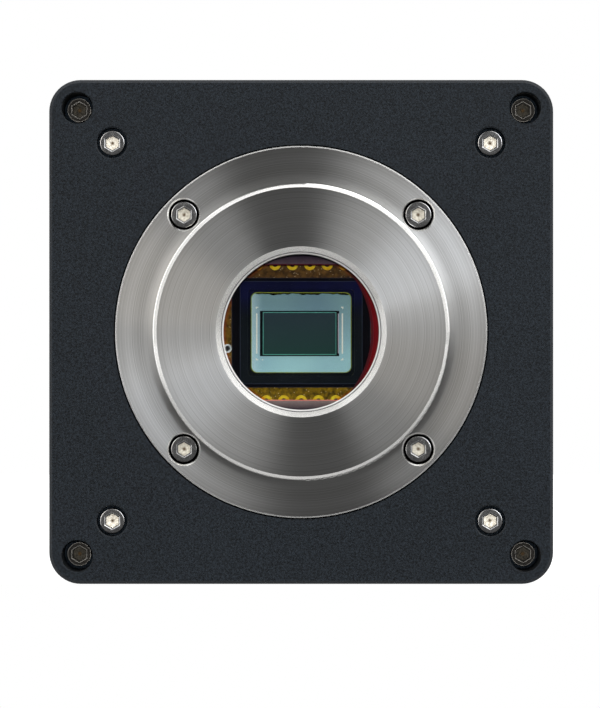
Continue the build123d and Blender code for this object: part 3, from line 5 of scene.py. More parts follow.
import bmesh
import bpy
import numpy as np
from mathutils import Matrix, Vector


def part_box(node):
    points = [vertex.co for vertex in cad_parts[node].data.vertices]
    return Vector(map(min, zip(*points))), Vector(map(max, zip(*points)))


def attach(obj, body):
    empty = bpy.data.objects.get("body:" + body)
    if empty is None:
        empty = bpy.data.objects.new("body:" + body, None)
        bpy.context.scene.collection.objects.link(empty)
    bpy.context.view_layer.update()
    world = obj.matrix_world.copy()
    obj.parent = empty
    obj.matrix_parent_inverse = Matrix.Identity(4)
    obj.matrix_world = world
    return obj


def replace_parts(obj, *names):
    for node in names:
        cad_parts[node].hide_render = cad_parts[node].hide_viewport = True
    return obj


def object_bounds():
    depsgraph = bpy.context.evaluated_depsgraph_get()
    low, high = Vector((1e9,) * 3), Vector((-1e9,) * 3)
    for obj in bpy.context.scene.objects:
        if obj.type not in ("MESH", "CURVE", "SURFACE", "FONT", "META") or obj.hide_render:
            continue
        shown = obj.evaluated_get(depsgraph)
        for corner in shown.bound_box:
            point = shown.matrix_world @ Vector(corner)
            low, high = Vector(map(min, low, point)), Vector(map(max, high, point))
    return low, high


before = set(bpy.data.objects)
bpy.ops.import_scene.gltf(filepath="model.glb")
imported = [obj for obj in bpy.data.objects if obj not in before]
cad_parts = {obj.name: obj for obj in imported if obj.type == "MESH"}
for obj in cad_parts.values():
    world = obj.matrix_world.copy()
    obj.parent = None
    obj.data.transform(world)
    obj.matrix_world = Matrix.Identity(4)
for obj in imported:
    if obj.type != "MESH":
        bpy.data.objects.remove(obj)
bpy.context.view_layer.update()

# ======================================================================================================
# Front housing and rear casing: milled aluminium, bead-blasted and dyed black-grey in the anodising bath.
# The blasting leaves a fine even grain, which scatters light softly. Four corner screws join the two.
# ======================================================================================================
MM = 0.001
BLAST_GRAIN = 0.28  # the real pits are about 0.1 mm: drawn coarser, so that they show
BLAST_RELIEF = (0.75, 0.03)
DYE_CLOUD = 22.0
DYE_CLOUD_SHARE = 0.16


def linear(code, alpha=1.0):
    """sRGB hex colour to linear RGBA: c / 12.92 up to 0.04045, and ((c + 0.055) / 1.055) ^ 2.4 above it."""
    channels = [int(code[i:i + 2], 16) / 255 for i in (1, 3, 5)]
    return [c / 12.92 if c <= 0.04045 else ((c + 0.055) / 1.055) ** 2.4 for c in channels] + [alpha]


def node(tree, kind, inputs=None, **settings):
    """Adds one shader node. settings are its properties; inputs gives each socket a value or an output."""
    made = tree.nodes.new(kind)
    for name, value in settings.items():
        setattr(made, name, value)
    for name, value in (inputs or {}).items():
        if isinstance(value, bpy.types.NodeSocket):
            tree.links.new(value, made.inputs[name])
        else:
            made.inputs[name].default_value = value
    return made


def finish(name, **values):
    """A new material with one Principled shader, its sockets set by name with underscores for spaces."""
    made = bpy.data.materials.new(name)
    made.use_nodes = True
    shader = made.node_tree.nodes["Principled BSDF"]
    for key, value in values.items():
        shader.inputs[key.replace("_", " ")].default_value = value
    return made, made.node_tree, shader


def blend_colours(tree, factor, low, high, start=0.0, end=1.0):
    """Colour that goes from low to high, each a colour or an output, as factor goes from start to end."""
    share = node(tree, "ShaderNodeMapRange", {0: factor, 1: start, 2: end}).outputs[0]
    return node(tree, "ShaderNodeMix", {0: share, 6: low, 7: high}, data_type="RGBA").outputs[2]


def mottled(tree, size, low, high, start=0.0, end=1.0, detail=2.0, relief=None):
    """Colour that drifts from low to high in blotches about size (mm) across, where the noise goes from start
    to end. relief, a strength and a depth in mm, raises the surface by the same blotches."""
    point = node(tree, "ShaderNodeTexCoord").outputs["Object"]
    blotches = {"Vector": point, "Scale": 1 / (size * MM), "Detail": detail, "Roughness": 0.6}
    noise = node(tree, "ShaderNodeTexNoise", blotches).outputs[0]
    if relief:
        strength, depth = relief
        raised = node(tree, "ShaderNodeBump", {"Height": noise, "Strength": strength, "Distance": depth * MM})
        tree.links.new(raised.outputs[0], tree.nodes["Principled BSDF"].inputs["Normal"])
    return blend_colours(tree, noise, linear(low), linear(high), start, end)


def dress(material, *names):
    """Gives CAD nodes a material in their own slot."""
    for name in names:
        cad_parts[name].material_slots[0].material = material


anodised, tree, shader = finish("black_grey_anodised_aluminium", Metallic=0.12, Roughness=0.52, IOR=1.37)
speckle = mottled(tree, BLAST_GRAIN, "#020406", "#1e242a", 0.36, 0.68, detail=3.0, relief=BLAST_RELIEF)
cloud = mottled(tree, DYE_CLOUD, "#06080b", "#12161b", 0.3, 0.7, detail=1.0)
tone = node(tree, "ShaderNodeMix", {0: DYE_CLOUD_SHARE, 6: speckle, 7: cloud}, data_type="RGBA").outputs[2]
tree.links.new(tone, shader.inputs["Base Color"])
dress(anodised, "front_housing", "rear_housing", "rear_cover")

# ======================================================================================================
# Lens mount flange: aluminium, turned on a lathe and held down by four screws. The tool leaves fine rings
# round the axis, so a highlight spreads into spokes: bright towards the lights, dark above and below.
# ======================================================================================================
TOOL_FEED = 0.16  # finer in the real cut: drawn as coarse as it needs to show
BROAD_RINGS = 0.09  # the same noise at this scale gives rings about 1.8 mm wide, where the tool wore
BROAD_SHARE = 0.12
FACE_ROUGHNESS = (0.28, 0.30)
CHAMFER_ROUGHNESS = 0.16
FACING, SLOPING = 0.95, 0.85  # size of the normal's Y where a face starts to count as sloping, and fully does
FLANGE_HEAD_R = 2.1
FLANGE_SCREW_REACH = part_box("flange_screws")[1][0] / MM - FLANGE_HEAD_R
# radii round each screw axis where the painted shade of the gap begins, and where it is full
GAP_SHADE_OUTER_R, GAP_SHADE_INNER_R = 2.46, 2.40


def place_on(tree):
    """Outputs X, Y and Z of the surface point, in metres."""
    point = node(tree, "ShaderNodeTexCoord").outputs["Object"]
    return node(tree, "ShaderNodeSeparateXYZ", {0: point}).outputs


def from_axis(tree):
    """Vector from the optical axis to the surface point, its depth left out."""
    place = place_on(tree)
    return node(tree, "ShaderNodeCombineXYZ", {"X": place["X"], "Z": place["Z"]}).outputs[0]


def off_axis(tree):
    """Distance of the surface point from the optical axis."""
    return node(tree, "ShaderNodeVectorMath", {0: from_axis(tree)}, operation="LENGTH").outputs["Value"]


def from_screw(tree, reach):
    """Distance of a surface point from the nearest of four screw axes, which stand reach (mm) off both
    mid-planes: the point is mirrored into one quarter by taking each coordinate's size."""
    mirrored = node(tree, "ShaderNodeVectorMath", {0: from_axis(tree)}, operation="ABSOLUTE").outputs[0]
    corner = (reach * MM, 0.0, reach * MM)
    return node(tree, "ShaderNodeVectorMath", {0: mirrored, 1: corner}, operation="DISTANCE").outputs["Value"]


def facing(tree):
    """1 where the surface faces straight ahead or back, 0 where it faces sideways, up or down."""
    normal = node(tree, "ShaderNodeNewGeometry").outputs["Normal"]
    lean = node(tree, "ShaderNodeSeparateXYZ", {0: normal}).outputs["Y"]
    return node(tree, "ShaderNodeMath", {0: lean}, operation="ABSOLUTE").outputs[0]


turned, tree, shader = finish("turned_aluminium", Metallic=1.0, Anisotropic=1.0)
spoke = node(tree, "ShaderNodeVectorMath", {0: from_axis(tree)}, operation="NORMALIZE").outputs[0]
tree.links.new(spoke, shader.inputs["Tangent"])
feeds = {0: off_axis(tree), 1: 1 / (TOOL_FEED * MM)}
cut = node(tree, "ShaderNodeMath", feeds, operation="MULTIPLY").outputs[0]
fine = {"W": cut, "Scale": 1.0, "Detail": 3.0, "Roughness": 0.7}
broad = {"W": cut, "Scale": BROAD_RINGS, "Detail": 1.0}
fine_rings = node(tree, "ShaderNodeTexNoise", fine, noise_dimensions="1D").outputs[0]
broad_rings = node(tree, "ShaderNodeTexNoise", broad, noise_dimensions="1D").outputs[0]
fine_tint = blend_colours(tree, fine_rings, linear("#b6b5b2"), linear("#e2e2e1"), 0.25, 0.75)
broad_tint = blend_colours(tree, broad_rings, linear("#9d9c99"), linear("#d9dadb"), 0.3, 0.7)
tint = node(tree, "ShaderNodeMix", {0: BROAD_SHARE, 6: fine_tint, 7: broad_tint}, data_type="RGBA").outputs[2]
smooth, rough = FACE_ROUGHNESS
matt = node(tree, "ShaderNodeMapRange", {0: broad_rings, 1: 0.2, 2: 0.8, 3: smooth, 4: rough}).outputs[0]
# chamfers and bores are cut last, with a sharp tool: they are brighter than the faces
sloping = node(tree, "ShaderNodeMapRange", {0: facing(tree), 1: FACING, 2: SLOPING}).outputs[0]
gloss = node(tree, "ShaderNodeMix", {0: sloping, 2: matt, 3: CHAMFER_ROUGHNESS}, data_type="FLOAT").outputs[0]
tree.links.new(gloss, shader.inputs["Roughness"])
tint = blend_colours(tree, sloping, tint, linear("#f6f5f2"))
# the gaps round the four screw heads are painted black as shade
off_screw = from_screw(tree, FLANGE_SCREW_REACH)
tint = blend_colours(tree, off_screw, tint, linear("#0a0a0b"), GAP_SHADE_OUTER_R * MM, GAP_SHADE_INNER_R * MM)
tree.links.new(tint, shader.inputs["Base Color"])
dress(turned, "lens_mount_flange")

# ======================================================================================================
# Lens thread: cut after the bore as a ridge with 60-degree flanks, 32 to the inch, wound down the bore.
# The crests are bare and pale, and the roots between them are painted dark as shade.
# ======================================================================================================
THREAD_PITCH = 25.4 / 32
THREAD_R = 12.70
THREAD_DEPTH = 0.30
THREAD_START, THREAD_END = 0.95, 5.30
THREAD_BURIED = 0.01
CREST_DEPTH, ROOT_DEPTH = 0.22, 0.06
TURN_STEPS = 160
RUN_IN = 0.6


def skin(points):
    """Vertices and faces of a tube of rings: points is (rings, around, 3). Each ring closes on itself, and
    the first and last are capped, so the surface is closed. Faces come as arrays of like corner counts."""
    count, around = points.shape[:2]
    index = np.arange(count * around).reshape(count, around)
    right = np.roll(index, -1, axis=1)
    sides = np.stack([index[:-1], right[:-1], right[1:], index[1:]], axis=-1).reshape(-1, 4)
    return points.reshape(-1, 3), [sides, index[:1, ::-1], index[-1:]]


def piece(name, parts, material, body="camera", crease=35):
    """One object from several closed skins: joined, turned outwards, shaded smooth up to the crease angle."""
    faces, start = [], 0
    for points, blocks in parts:
        for block in blocks:
            faces += (block + start).tolist()
        start += len(points)
    mesh = bpy.data.meshes.new(name)
    mesh.from_pydata((np.concatenate([points for points, blocks in parts]) * MM).tolist(), [], faces)
    work = bmesh.new()
    work.from_mesh(mesh)
    bmesh.ops.recalc_face_normals(work, faces=work.faces)
    work.to_mesh(mesh)
    work.free()
    mesh.shade_smooth()
    mesh.set_sharp_from_angle(angle=radians(crease))
    mesh.materials.append(material)
    made = bpy.data.objects.new(name, mesh)
    bpy.context.scene.collection.objects.link(made)
    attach(made, body)
    return made


def thread_ridge(radius, depth, pitch, start, end):
    """Rings of an inner thread round the Y axis, a triangle swept along a helix. Its base lies on the bore
    wall, its crest points at the axis, and y grows by one pitch a turn. Its crest rises over the first RUN_IN
    radians and sinks over the last."""
    turns = (end - start) / pitch - 0.5
    angle = np.linspace(0, 2 * pi * turns, int(TURN_STEPS * turns))
    fade = np.clip(np.minimum(angle, angle[-1] - angle) / RUN_IN, 0, 1)
    section_y = np.array([-0.46, 0.0, 0.46]) * pitch
    section_r = np.array([THREAD_BURIED, -depth, THREAD_BURIED])
    ridge_r = radius + np.where(section_r < 0, section_r * fade[:, None], section_r)
    ridge_y = start + 0.5 * pitch + pitch * angle[:, None] / (2 * pi) + section_y
    return np.stack([ridge_r * np.cos(angle)[:, None], ridge_y, ridge_r * np.sin(angle)[:, None]], axis=-1)


cut_thread, tree, shader = finish("cut_thread_aluminium", Metallic=0.45, Roughness=0.35)
crest = mottled(tree, 0.8, "#d6d5d2", "#f6f5f2")
crest_r, root_r = THREAD_R - CREST_DEPTH, THREAD_R - ROOT_DEPTH
# painted shade: the colour darkens from the crests into the roots
root_painted_shade = blend_colours(tree, off_axis(tree), crest, linear("#4c4c4f"), crest_r * MM, root_r * MM)
tree.links.new(root_painted_shade, shader.inputs["Base Color"])
lens_thread = thread_ridge(THREAD_R, THREAD_DEPTH, THREAD_PITCH, THREAD_START, THREAD_END)
piece("lens_thread", [skin(lens_thread)], cut_thread)

# ======================================================================================================
# Socket cap screws: cold-headed steel with a hexagon socket, punched over a drilled pilot hole that leaves
# a dimple. The flange and chamber screws are bright stainless, the corner screws are black-oxide steel.
# ======================================================================================================
ROUND_STEPS = 96
HEAD_ROUNDING = 0.2
ROUNDING_STEPS = 6
SHANK_R = 1.25
SHANK_POINT = 0.3
SOCKET_FLOOR_T = 0.4
DIMPLE_R, SPOT_R = 0.10, 0.42
PATCH_SIZE = 0.9


def hexagon_round(flats, turn):
    """Radius of a hexagon, a point up: half the flats over the cosine of the angle off the nearest flat."""
    return flats / 2 / np.cos(turn % radians(60) - radians(30))


def rings_on_axis(rings, turn, face, x, z):
    """Points of rings round an axis along Y through x, z: each is its radii and its depth behind the face."""
    r = np.array([radii for radii, depth in rings])
    y = face + np.array([depth for radii, depth in rings])[:, None] + 0 * turn
    return np.stack([x + r * np.sin(turn), y, z + r * np.cos(turn)], axis=-1)


def socket_screw(face, x, z, head_r, head_t, length, flats, socket_t):
    """One cap screw: its profile goes up the hexagon socket, over the rounded head and down the shank. A
    ring's radius is a number, or the hexagon's at that angle. The rounding is a quarter circle."""
    turn = np.linspace(0, 2 * pi, ROUND_STEPS, endpoint=False)
    hexagon = hexagon_round(flats, turn)
    wheel = np.ones(ROUND_STEPS)
    bend = np.linspace(0, pi / 2, ROUNDING_STEPS)
    rings = [
        # socket walls, its burnished mouth, and the chamfer of the mouth
        (0.97 * hexagon, socket_t + SOCKET_FLOOR_T),
        (hexagon, socket_t + SOCKET_FLOOR_T - 0.04),
        (hexagon, 0.10),
        (1.14 * hexagon, 0.10),
        (1.16 * hexagon, 0.09),
        (1.26 * hexagon, 0.0),
    ]
    rings += [((head_r - HEAD_ROUNDING * (1 - np.sin(a))) * wheel, HEAD_ROUNDING * (1 - np.cos(a)))
              for a in bend]
    rings += [
        # side and underside of the head, then the shank and its point
        (head_r * wheel, head_t - 0.1),
        ((head_r - 0.1) * wheel, head_t),
        (SHANK_R * wheel, head_t),
        (SHANK_R * wheel, head_t + length - SHANK_POINT),
        ((SHANK_R - SHANK_POINT) * wheel, head_t + length),
    ]
    return skin(rings_on_axis(rings, turn, face, x, z))


def socket_floor(face, x, z, flats, socket_t):
    """The metal at the bottom of a socket: a drilled dimple, the flat round it, its edge and the back."""
    turn = np.linspace(0, 2 * pi, ROUND_STEPS, endpoint=False)
    hexagon = hexagon_round(flats, turn) - 0.01
    wheel = np.ones(ROUND_STEPS)
    rings = [
        (0.03 * wheel, socket_t + 0.24),
        (0.34 * wheel, socket_t + 0.06),
        (0.44 * wheel, socket_t),
        (0.96 * hexagon, socket_t),
        (hexagon, socket_t + 0.05),
        (hexagon, socket_t + SOCKET_FLOOR_T - 0.06),
    ]
    return skin(rings_on_axis(rings, turn, face, x, z))


def punched_metal(name, low, high, reach):
    """Finish of the socket floors of four screws: matt and pale, with a brown spot in the drilled dimple."""
    material, tree, shader = finish(name, Metallic=0.1, Roughness=0.6)
    punched = mottled(tree, 0.35, low, high, 0.3, 0.65, detail=3.0)
    off_screw = from_screw(tree, reach)
    spotted = blend_colours(tree, off_screw, linear("#4a3a26"), punched, DIMPLE_R * MM, SPOT_R * MM)
    tree.links.new(spotted, shader.inputs["Base Color"])
    return material


def screw_square(name, node_name, head_r, head_t, flats, socket_t, material, floor_finish):
    """Four screws in place of a CAD node of four: their square, face and length come from the node's box."""
    low, high = (np.array(corner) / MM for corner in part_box(node_name))
    reach = high[0] - head_r
    axes = [(x, z) for x in (-reach, reach) for z in (-reach, reach)]
    length = high[1] - low[1] - head_t
    screws = [socket_screw(low[1], x, z, head_r, head_t, length, flats, socket_t) for x, z in axes]
    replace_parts(piece(name, screws, material), node_name)
    floors = [socket_floor(low[1], x, z, flats, socket_t) for x, z in axes]
    piece(name + "_sockets", floors, punched_metal(*floor_finish, reach))


stainless, tree, shader = finish("cold_headed_stainless_steel", Metallic=1.0)
bright = mottled(tree, 0.5, "#a9a8aa", "#cfcfcd", 0.3, 0.7, detail=3.0, relief=(0.08, 0.004))
tree.links.new(bright, shader.inputs["Base Color"])
# tumbling leaves dull patches
point = node(tree, "ShaderNodeTexCoord").outputs["Object"]
patches = {"Vector": point, "Scale": 1 / (PATCH_SIZE * MM), "Roughness": 0.6}
dull = node(tree, "ShaderNodeTexNoise", patches).outputs[0]
gloss = node(tree, "ShaderNodeMapRange", {0: dull, 1: 0.3, 2: 0.7, 3: 0.2, 4: 0.28}).outputs[0]
tree.links.new(gloss, shader.inputs["Roughness"])

black_oxide, tree, shader = finish("black_oxide_steel", Metallic=0.6, Roughness=0.32)
blackened = mottled(tree, 0.6, "#33312e", "#45423e", 0.3, 0.75, detail=3.0, relief=(0.06, 0.004))
# the edges, which face neither straight ahead nor sideways, are painted pale as a glint where they catch the
# light
squareness = facing(tree)
off_face = node(tree, "ShaderNodeMapRange", {0: squareness, 1: FACING, 2: SLOPING}).outputs[0]
off_wall = node(tree, "ShaderNodeMapRange", {0: squareness, 1: 0.3, 2: 0.5, 3: 0.0, 4: 0.8}).outputs[0]
painted_edge_glint = node(tree, "ShaderNodeMath", {0: off_face, 1: off_wall}, operation="MULTIPLY").outputs[0]
tree.links.new(blend_colours(tree, painted_edge_glint, blackened, linear("#c8c4bc")), shader.inputs["Base Color"])

screw_square("flange_cap_screws", "flange_screws", head_r=FLANGE_HEAD_R, head_t=1.65, flats=1.94,
             socket_t=0.7, material=stainless,
             floor_finish=("punched_dull_steel", "#8b8579", "#c4bfb1"))
screw_square("chamber_cap_screws", "chamber_screws", head_r=2.0, head_t=2.0, flats=2.0,
             socket_t=0.7, material=stainless,
             floor_finish=("punched_bright_steel", "#a49b8b", "#e2ddd0"))
screw_square("corner_cap_screws", "housing_screws", head_r=1.9, head_t=2.5, flats=2.0,
             socket_t=1.0, material=black_oxide,
             floor_finish=("worn_black_steel", "#24231f", "#454139"))
dress(black_oxide, "rear_cover_screws", "fan_screws", "sensor_board_screws")
dress(stainless, "board_standoffs")

# ======================================================================================================
# Seals and gasket: black nitrile rubber, moulded or cut from sheet and squeezed between the pieces. It is
# matt, with a faint dusty bloom.
# ======================================================================================================


def grained(name, size, low, high, start=0.0, end=1.0, detail=2.0, relief=None, **values):
    """A finish that is mottled in two tones all over."""
    made, tree, shader = finish(name, **values)
    tree.links.new(mottled(tree, size, low, high, start, end, detail, relief), shader.inputs["Base Color"])
    return made


nitrile = grained("nitrile_rubber", 0.7, "#0f0f10", "#212122", relief=(0.2, 0.02), Roughness=0.72, IOR=1.52)
dress(nitrile, "window_seals", "flange_seal", "chamber_seals", "housing_gasket", "feedthrough_seals")

# ======================================================================================================
# Window and sensor cover glass: thin plates with an anti-reflection coating, which lets nearly all the light
# through and leaves a faint cool reflection. The window is clamped between two seals, the cover glass glued.
# ======================================================================================================
coated = finish("coated_optical_glass", Base_Color=linear("#080a0e"), Roughness=0.03, IOR=1.52, Alpha=0.08)[0]
dress(coated, "window_glass", "sensor_cover_glass")

# ======================================================================================================
# Chamber and baffle: aluminium, black anodised. The baffle plate has a painted lit band across its middle,
# purple-grey and lighter below than above, painted shade beyond it, and a painted red reflection at its
# right. It rests on a ledge of the chamber wall, in front of the sensor.
# ======================================================================================================
LIT_TO, DARK_FROM = 11.2, 12.6
# where, along X, the painted red reflection begins and where it is full
RED_REFLECTION_FROM, RED_REFLECTION_TO = 6.5, 9.0
HAZE = 1.4

purple_black, tree, shader = finish("purple_black_anodised_aluminium", Metallic=0.1, Roughness=0.5, IOR=1.4)
place = place_on(tree)
# painted light and shade: a lit band across the middle, lighter below than above, going dark above and below
# it
lit_below = mottled(tree, HAZE, "#6b5c5b", "#8c7c78")
lit_above = mottled(tree, HAZE, "#3f333b", "#5c4b55")
lit = blend_colours(tree, place["Z"], lit_below, lit_above, -1 * MM, 1 * MM)
painted_shade_part = mottled(tree, HAZE, "#17121f", "#221b2b")
off_middle = node(tree, "ShaderNodeMath", {0: place["Z"]}, operation="ABSOLUTE").outputs[0]
painted_light_bands = blend_colours(tree, off_middle, lit, painted_shade_part, LIT_TO * MM, DARK_FROM * MM)
# painted reflection: the plate turns red towards its right
painted_red_reflection = mottled(tree, HAZE, "#4c0208", "#77060d")
tree.links.new(blend_colours(tree, place["X"], painted_light_bands, painted_red_reflection, RED_REFLECTION_FROM * MM, RED_REFLECTION_TO * MM),
               shader.inputs["Base Color"])
dress(purple_black, "baffle_plate")

dark_wall = grained("black_anodised_chamber_wall", HAZE, "#0d0b12", "#18131f",
                    Metallic=0.1, Roughness=0.5, IOR=1.4)
dress(dark_wall, "chamber_wall")

# ======================================================================================================
# Baffle lip: the thin step that a second cutter leaves round the baffle's opening, a circle cut off straight
# above and below. It is dyed dark red, with a painted pink highlight along its lower edge.
# ======================================================================================================
BAFFLE_HOLE_R = 15.8
BAFFLE_HOLE_X = -4.0
BAFFLE_HALF_SLOT = 11.1
LIP_STEPS = 90
LIP_W = 0.42
LIP_T = 0.12
LIP_SET_BACK = 0.3
LIP_OVERLAP = 0.02
lip_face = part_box("baffle_plate")[0][1] / MM + LIP_SET_BACK


def cut_circle(radius, half_slot):
    """Outline of a circle's two side arcs, joined straight across: angles are evenly spaced up to where the
    height is the half slot."""
    corner = np.arcsin(half_slot / radius)
    right = np.linspace(-corner, corner, LIP_STEPS)
    arc = np.concatenate([right, right + pi])
    return radius * np.cos(arc), radius * np.sin(arc)


def at_depths(section):
    """Points of a band or plate from outlines: each is its x, its z and the depth that all of it lies at."""
    return np.stack([np.stack([x, np.full(x.shape, depth), z], axis=-1) for x, z, depth in section])


def loop_skin(points):
    """Vertices and faces of a closed band: points is (round the section, along the loop, 3)."""
    count, along_loop = points.shape[:2]
    index = np.arange(count * along_loop).reshape(count, along_loop)
    down, right = np.roll(index, -1, axis=0), np.roll(index, -1, axis=1)
    corner = np.roll(down, -1, axis=1)
    return points.reshape(-1, 3), [np.stack([index, right, corner, down], axis=-1).reshape(-1, 4)]


red_lip, tree, shader = finish("dark_red_anodised_lip", Metallic=0.1, Roughness=0.4)
# painted highlight: the dark red goes pink along the lower edge
red = blend_colours(tree, place_on(tree)["Z"], linear("#d08070"), linear("#4a0a12"), -11.0 * MM, -10.6 * MM)
tree.links.new(red, shader.inputs["Base Color"])
outer_x, outer_z = cut_circle(BAFFLE_HOLE_R + LIP_OVERLAP, BAFFLE_HALF_SLOT)
inner_x, inner_z = cut_circle(BAFFLE_HOLE_R - LIP_W, BAFFLE_HALF_SLOT - 0.4 * LIP_W)
lip = at_depths([
    (BAFFLE_HOLE_X + outer_x, outer_z, lip_face),
    (BAFFLE_HOLE_X + inner_x, inner_z, lip_face),
    (BAFFLE_HOLE_X + inner_x, inner_z, lip_face + LIP_T),
    (BAFFLE_HOLE_X + outer_x, outer_z, lip_face + LIP_T),
])
piece("baffle_lip", [loop_skin(lip)], red_lip)

# ======================================================================================================
# Image sensor: a fired ceramic package with a chip of polished, coated silicon in it. The chip's border is
# painted pale teal as a reflection of the lights in its coating, lighter below and at the left, and the
# light-sensitive array dark grey-green. Lines and marks are etched metal and oxide films.
# ======================================================================================================
ARRAY_W, ARRAY_H = 12.2, 7.2
ARRAY_X, ARRAY_Z = -0.26, -0.15
FILM_T = 0.012  # the real films are far thinner: thick enough here to stand clear of each other
DIE_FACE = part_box("sensor_die")[0][1] / MM
BORDER_W, BORDER_H, BORDER_CORNER = 16.2, 12.95, 0.96
# outlines round the array: width, height, the line's width left and right, and above and below
DARK_OUTLINE = (12.95, 7.42, 0.42, 0.17)
TEAL_OUTLINE = (11.95, 6.95, 0.07, 0.09)
BUS_X, BUS_W, BUS_H = 7.0, 0.22, 6.6
MARK_X, MARK_Z = 6.95, 4.3
MARK_FACE = DIE_FACE - 3 * FILM_T
GUARD_X, GUARD_W, GUARD_H = 6.36, 0.18, 6.5

ceramic, tree, shader = finish("navy_black_alumina", Roughness=0.5, IOR=1.3)
fired_black, fired_navy = mottled(tree, 2.5, "#05090c", "#0b1318"), mottled(tree, 2.5, "#080a1e", "#0f1238")
fired = blend_colours(tree, place_on(tree)["Z"], fired_black, fired_navy, 2.5 * MM, 6.0 * MM)
tree.links.new(fired, shader.inputs["Base Color"])
dress(ceramic, "sensor_package")

silicon, tree, shader = finish("coated_silicon", Roughness=0.55, IOR=1.4)
place = place_on(tree)
# painted reflection: the teal of the coating, lighter towards the bottom and paler at the far left
painted_sheen = blend_colours(tree, place["Z"], linear("#b4eaf0"), linear("#6f909c"), -5.5 * MM, 5.0 * MM)
point = node(tree, "ShaderNodeTexCoord").outputs["Object"]
drift = node(tree, "ShaderNodeTexNoise", {"Vector": point, "Scale": 1 / (9 * MM), "Detail": 1.0}).outputs[0]
uneven = blend_colours(tree, drift, linear("#6e8fa8"), linear("#a8d8d2"), 0.3, 0.7)
painted_sheen = node(tree, "ShaderNodeMix", {0: 0.3, 6: painted_sheen, 7: uneven}, data_type="RGBA").outputs[2]
left_sheen_range = {0: place["X"], 1: -6.3 * MM, 2: -8.1 * MM, 3: 0.0, 4: 0.6}
painted_sheen_left = node(tree, "ShaderNodeMapRange", left_sheen_range).outputs[0]
tree.links.new(blend_colours(tree, painted_sheen_left, painted_sheen, linear("#c8e8f2")), shader.inputs["Base Color"])
dress(silicon, "sensor_die")

microlenses, tree, shader = finish("microlens_array", Roughness=0.55, IOR=1.3)
height = place_on(tree)["Z"]
lens_tone = blend_colours(tree, height, linear("#26443f"), linear("#303f47"), -3.5 * MM, 3.5 * MM)
tree.links.new(lens_tone, shader.inputs["Base Color"])
border_black = grained("array_border_black", 0.8, "#030609", "#05080b", Roughness=0.6, IOR=1.2)
edge_teal = grained("array_edge_teal", 0.8, "#63beac", "#69c6b4", Roughness=0.6, IOR=1.3)
bare_metal = grained("bare_pad_metal", 0.8, "#fafce6", "#ffffee", Roughness=0.5)
guard_grey = grained("guard_ring_grey", 0.8, "#b7b1bd", "#bdb7c3", Roughness=0.5)
dress(bare_metal, "bond_pads")


def slab(x, z, width, height, face, thickness):
    """A thin box with its front at depth face: four corners carried from front to back."""
    corner_x = x + np.array([-1, 1, 1, -1]) * width / 2
    corner_z = z + np.array([-1, -1, 1, 1]) * height / 2
    return skin(at_depths([(corner_x, corner_z, face), (corner_x, corner_z, face + thickness)]))


def frame_of(width, height, side_line, end_line, face, thickness, x=0.0, z=0.0):
    """Four slabs that outline a rectangle, side_line wide left and right and end_line above and below."""
    out, up, tall = (width - side_line) / 2, (height - end_line) / 2, height - 2 * end_line
    ends = [slab(x, z + side * up, width, end_line, face, thickness) for side in (-1, 1)]
    return ends + [slab(x + side * out, z, side_line, tall, face, thickness) for side in (-1, 1)]


def rounded_rectangle(width, height, corner_r, steps=60):
    """Outline points of a rounded rectangle: each corner's arc in turn, joined by the straight sides."""
    quarter = np.arange(4)[:, None]
    angle = np.linspace(0, pi / 2, steps) + quarter * pi / 2
    side_x, side_z = np.sign(np.cos(quarter * pi / 2 + pi / 4)), np.sign(np.sin(quarter * pi / 2 + pi / 4))
    x = side_x * (width / 2 - corner_r) + corner_r * np.cos(angle)
    z = side_z * (height / 2 - corner_r) + corner_r * np.sin(angle)
    return x.ravel(), z.ravel()


piece("pixel_array", [slab(ARRAY_X, ARRAY_Z, ARRAY_W, ARRAY_H, DIE_FACE - 2 * FILM_T, FILM_T)],
      microlenses)
piece("array_border", frame_of(*DARK_OUTLINE, DIE_FACE - 2.5 * FILM_T, FILM_T, ARRAY_X, ARRAY_Z),
      border_black)
piece("array_edge", frame_of(*TEAL_OUTLINE, DIE_FACE - 3.2 * FILM_T, FILM_T, ARRAY_X, ARRAY_Z),
      edge_teal)

# bus lines at both ends of the array, an angle mark at each corner, and one test pad below
marks = [slab(ARRAY_X + side * BUS_X, ARRAY_Z, BUS_W, BUS_H, MARK_FACE, FILM_T) for side in (-1, 1)]
for side, end in ((-1, -1), (-1, 1), (1, -1), (1, 1)):
    mark_x, mark_z = ARRAY_X + side * MARK_X, ARRAY_Z + end * MARK_Z
    marks.append(slab(mark_x, mark_z, 0.42, 0.16, MARK_FACE, FILM_T))
    marks.append(slab(mark_x + side * 0.12, mark_z - end * 0.14, 0.16, 0.26, MARK_FACE, FILM_T))
marks.append(slab(ARRAY_X - 6.05, ARRAY_Z - MARK_Z, 0.2, 0.18, MARK_FACE, FILM_T))
piece("sensor_marks", marks, bare_metal)
guard = slab(ARRAY_X + GUARD_X, ARRAY_Z, GUARD_W, GUARD_H, MARK_FACE, FILM_T)
piece("guard_bar", [guard], guard_grey)

border_x, border_z = rounded_rectangle(BORDER_W, BORDER_H, BORDER_CORNER)
border = at_depths([(border_x, border_z, DIE_FACE - 0.005), (border_x, border_z, DIE_FACE + 0.1)])
piece("silicon_border", [skin(border)], silicon)

# ======================================================================================================
# Glue and edges of the sensor: the cover glass is bonded with a bead of clear resin, squeezed out in a wavy
# edge that is painted green as a highlight, with a painted shadow under the top edge. The package and the
# black resin round it show one thin pale line each along their front edges.
# ======================================================================================================
BEAD_W, BEAD_H, BEAD_CORNER = 16.42, 13.17, 1.05
BEAD_LINE = 0.12
SHADE_STEPS = 120
SHADE_HALF, SHADE_TOP = 7.9, 6.47
EDGE_LINE = 0.07

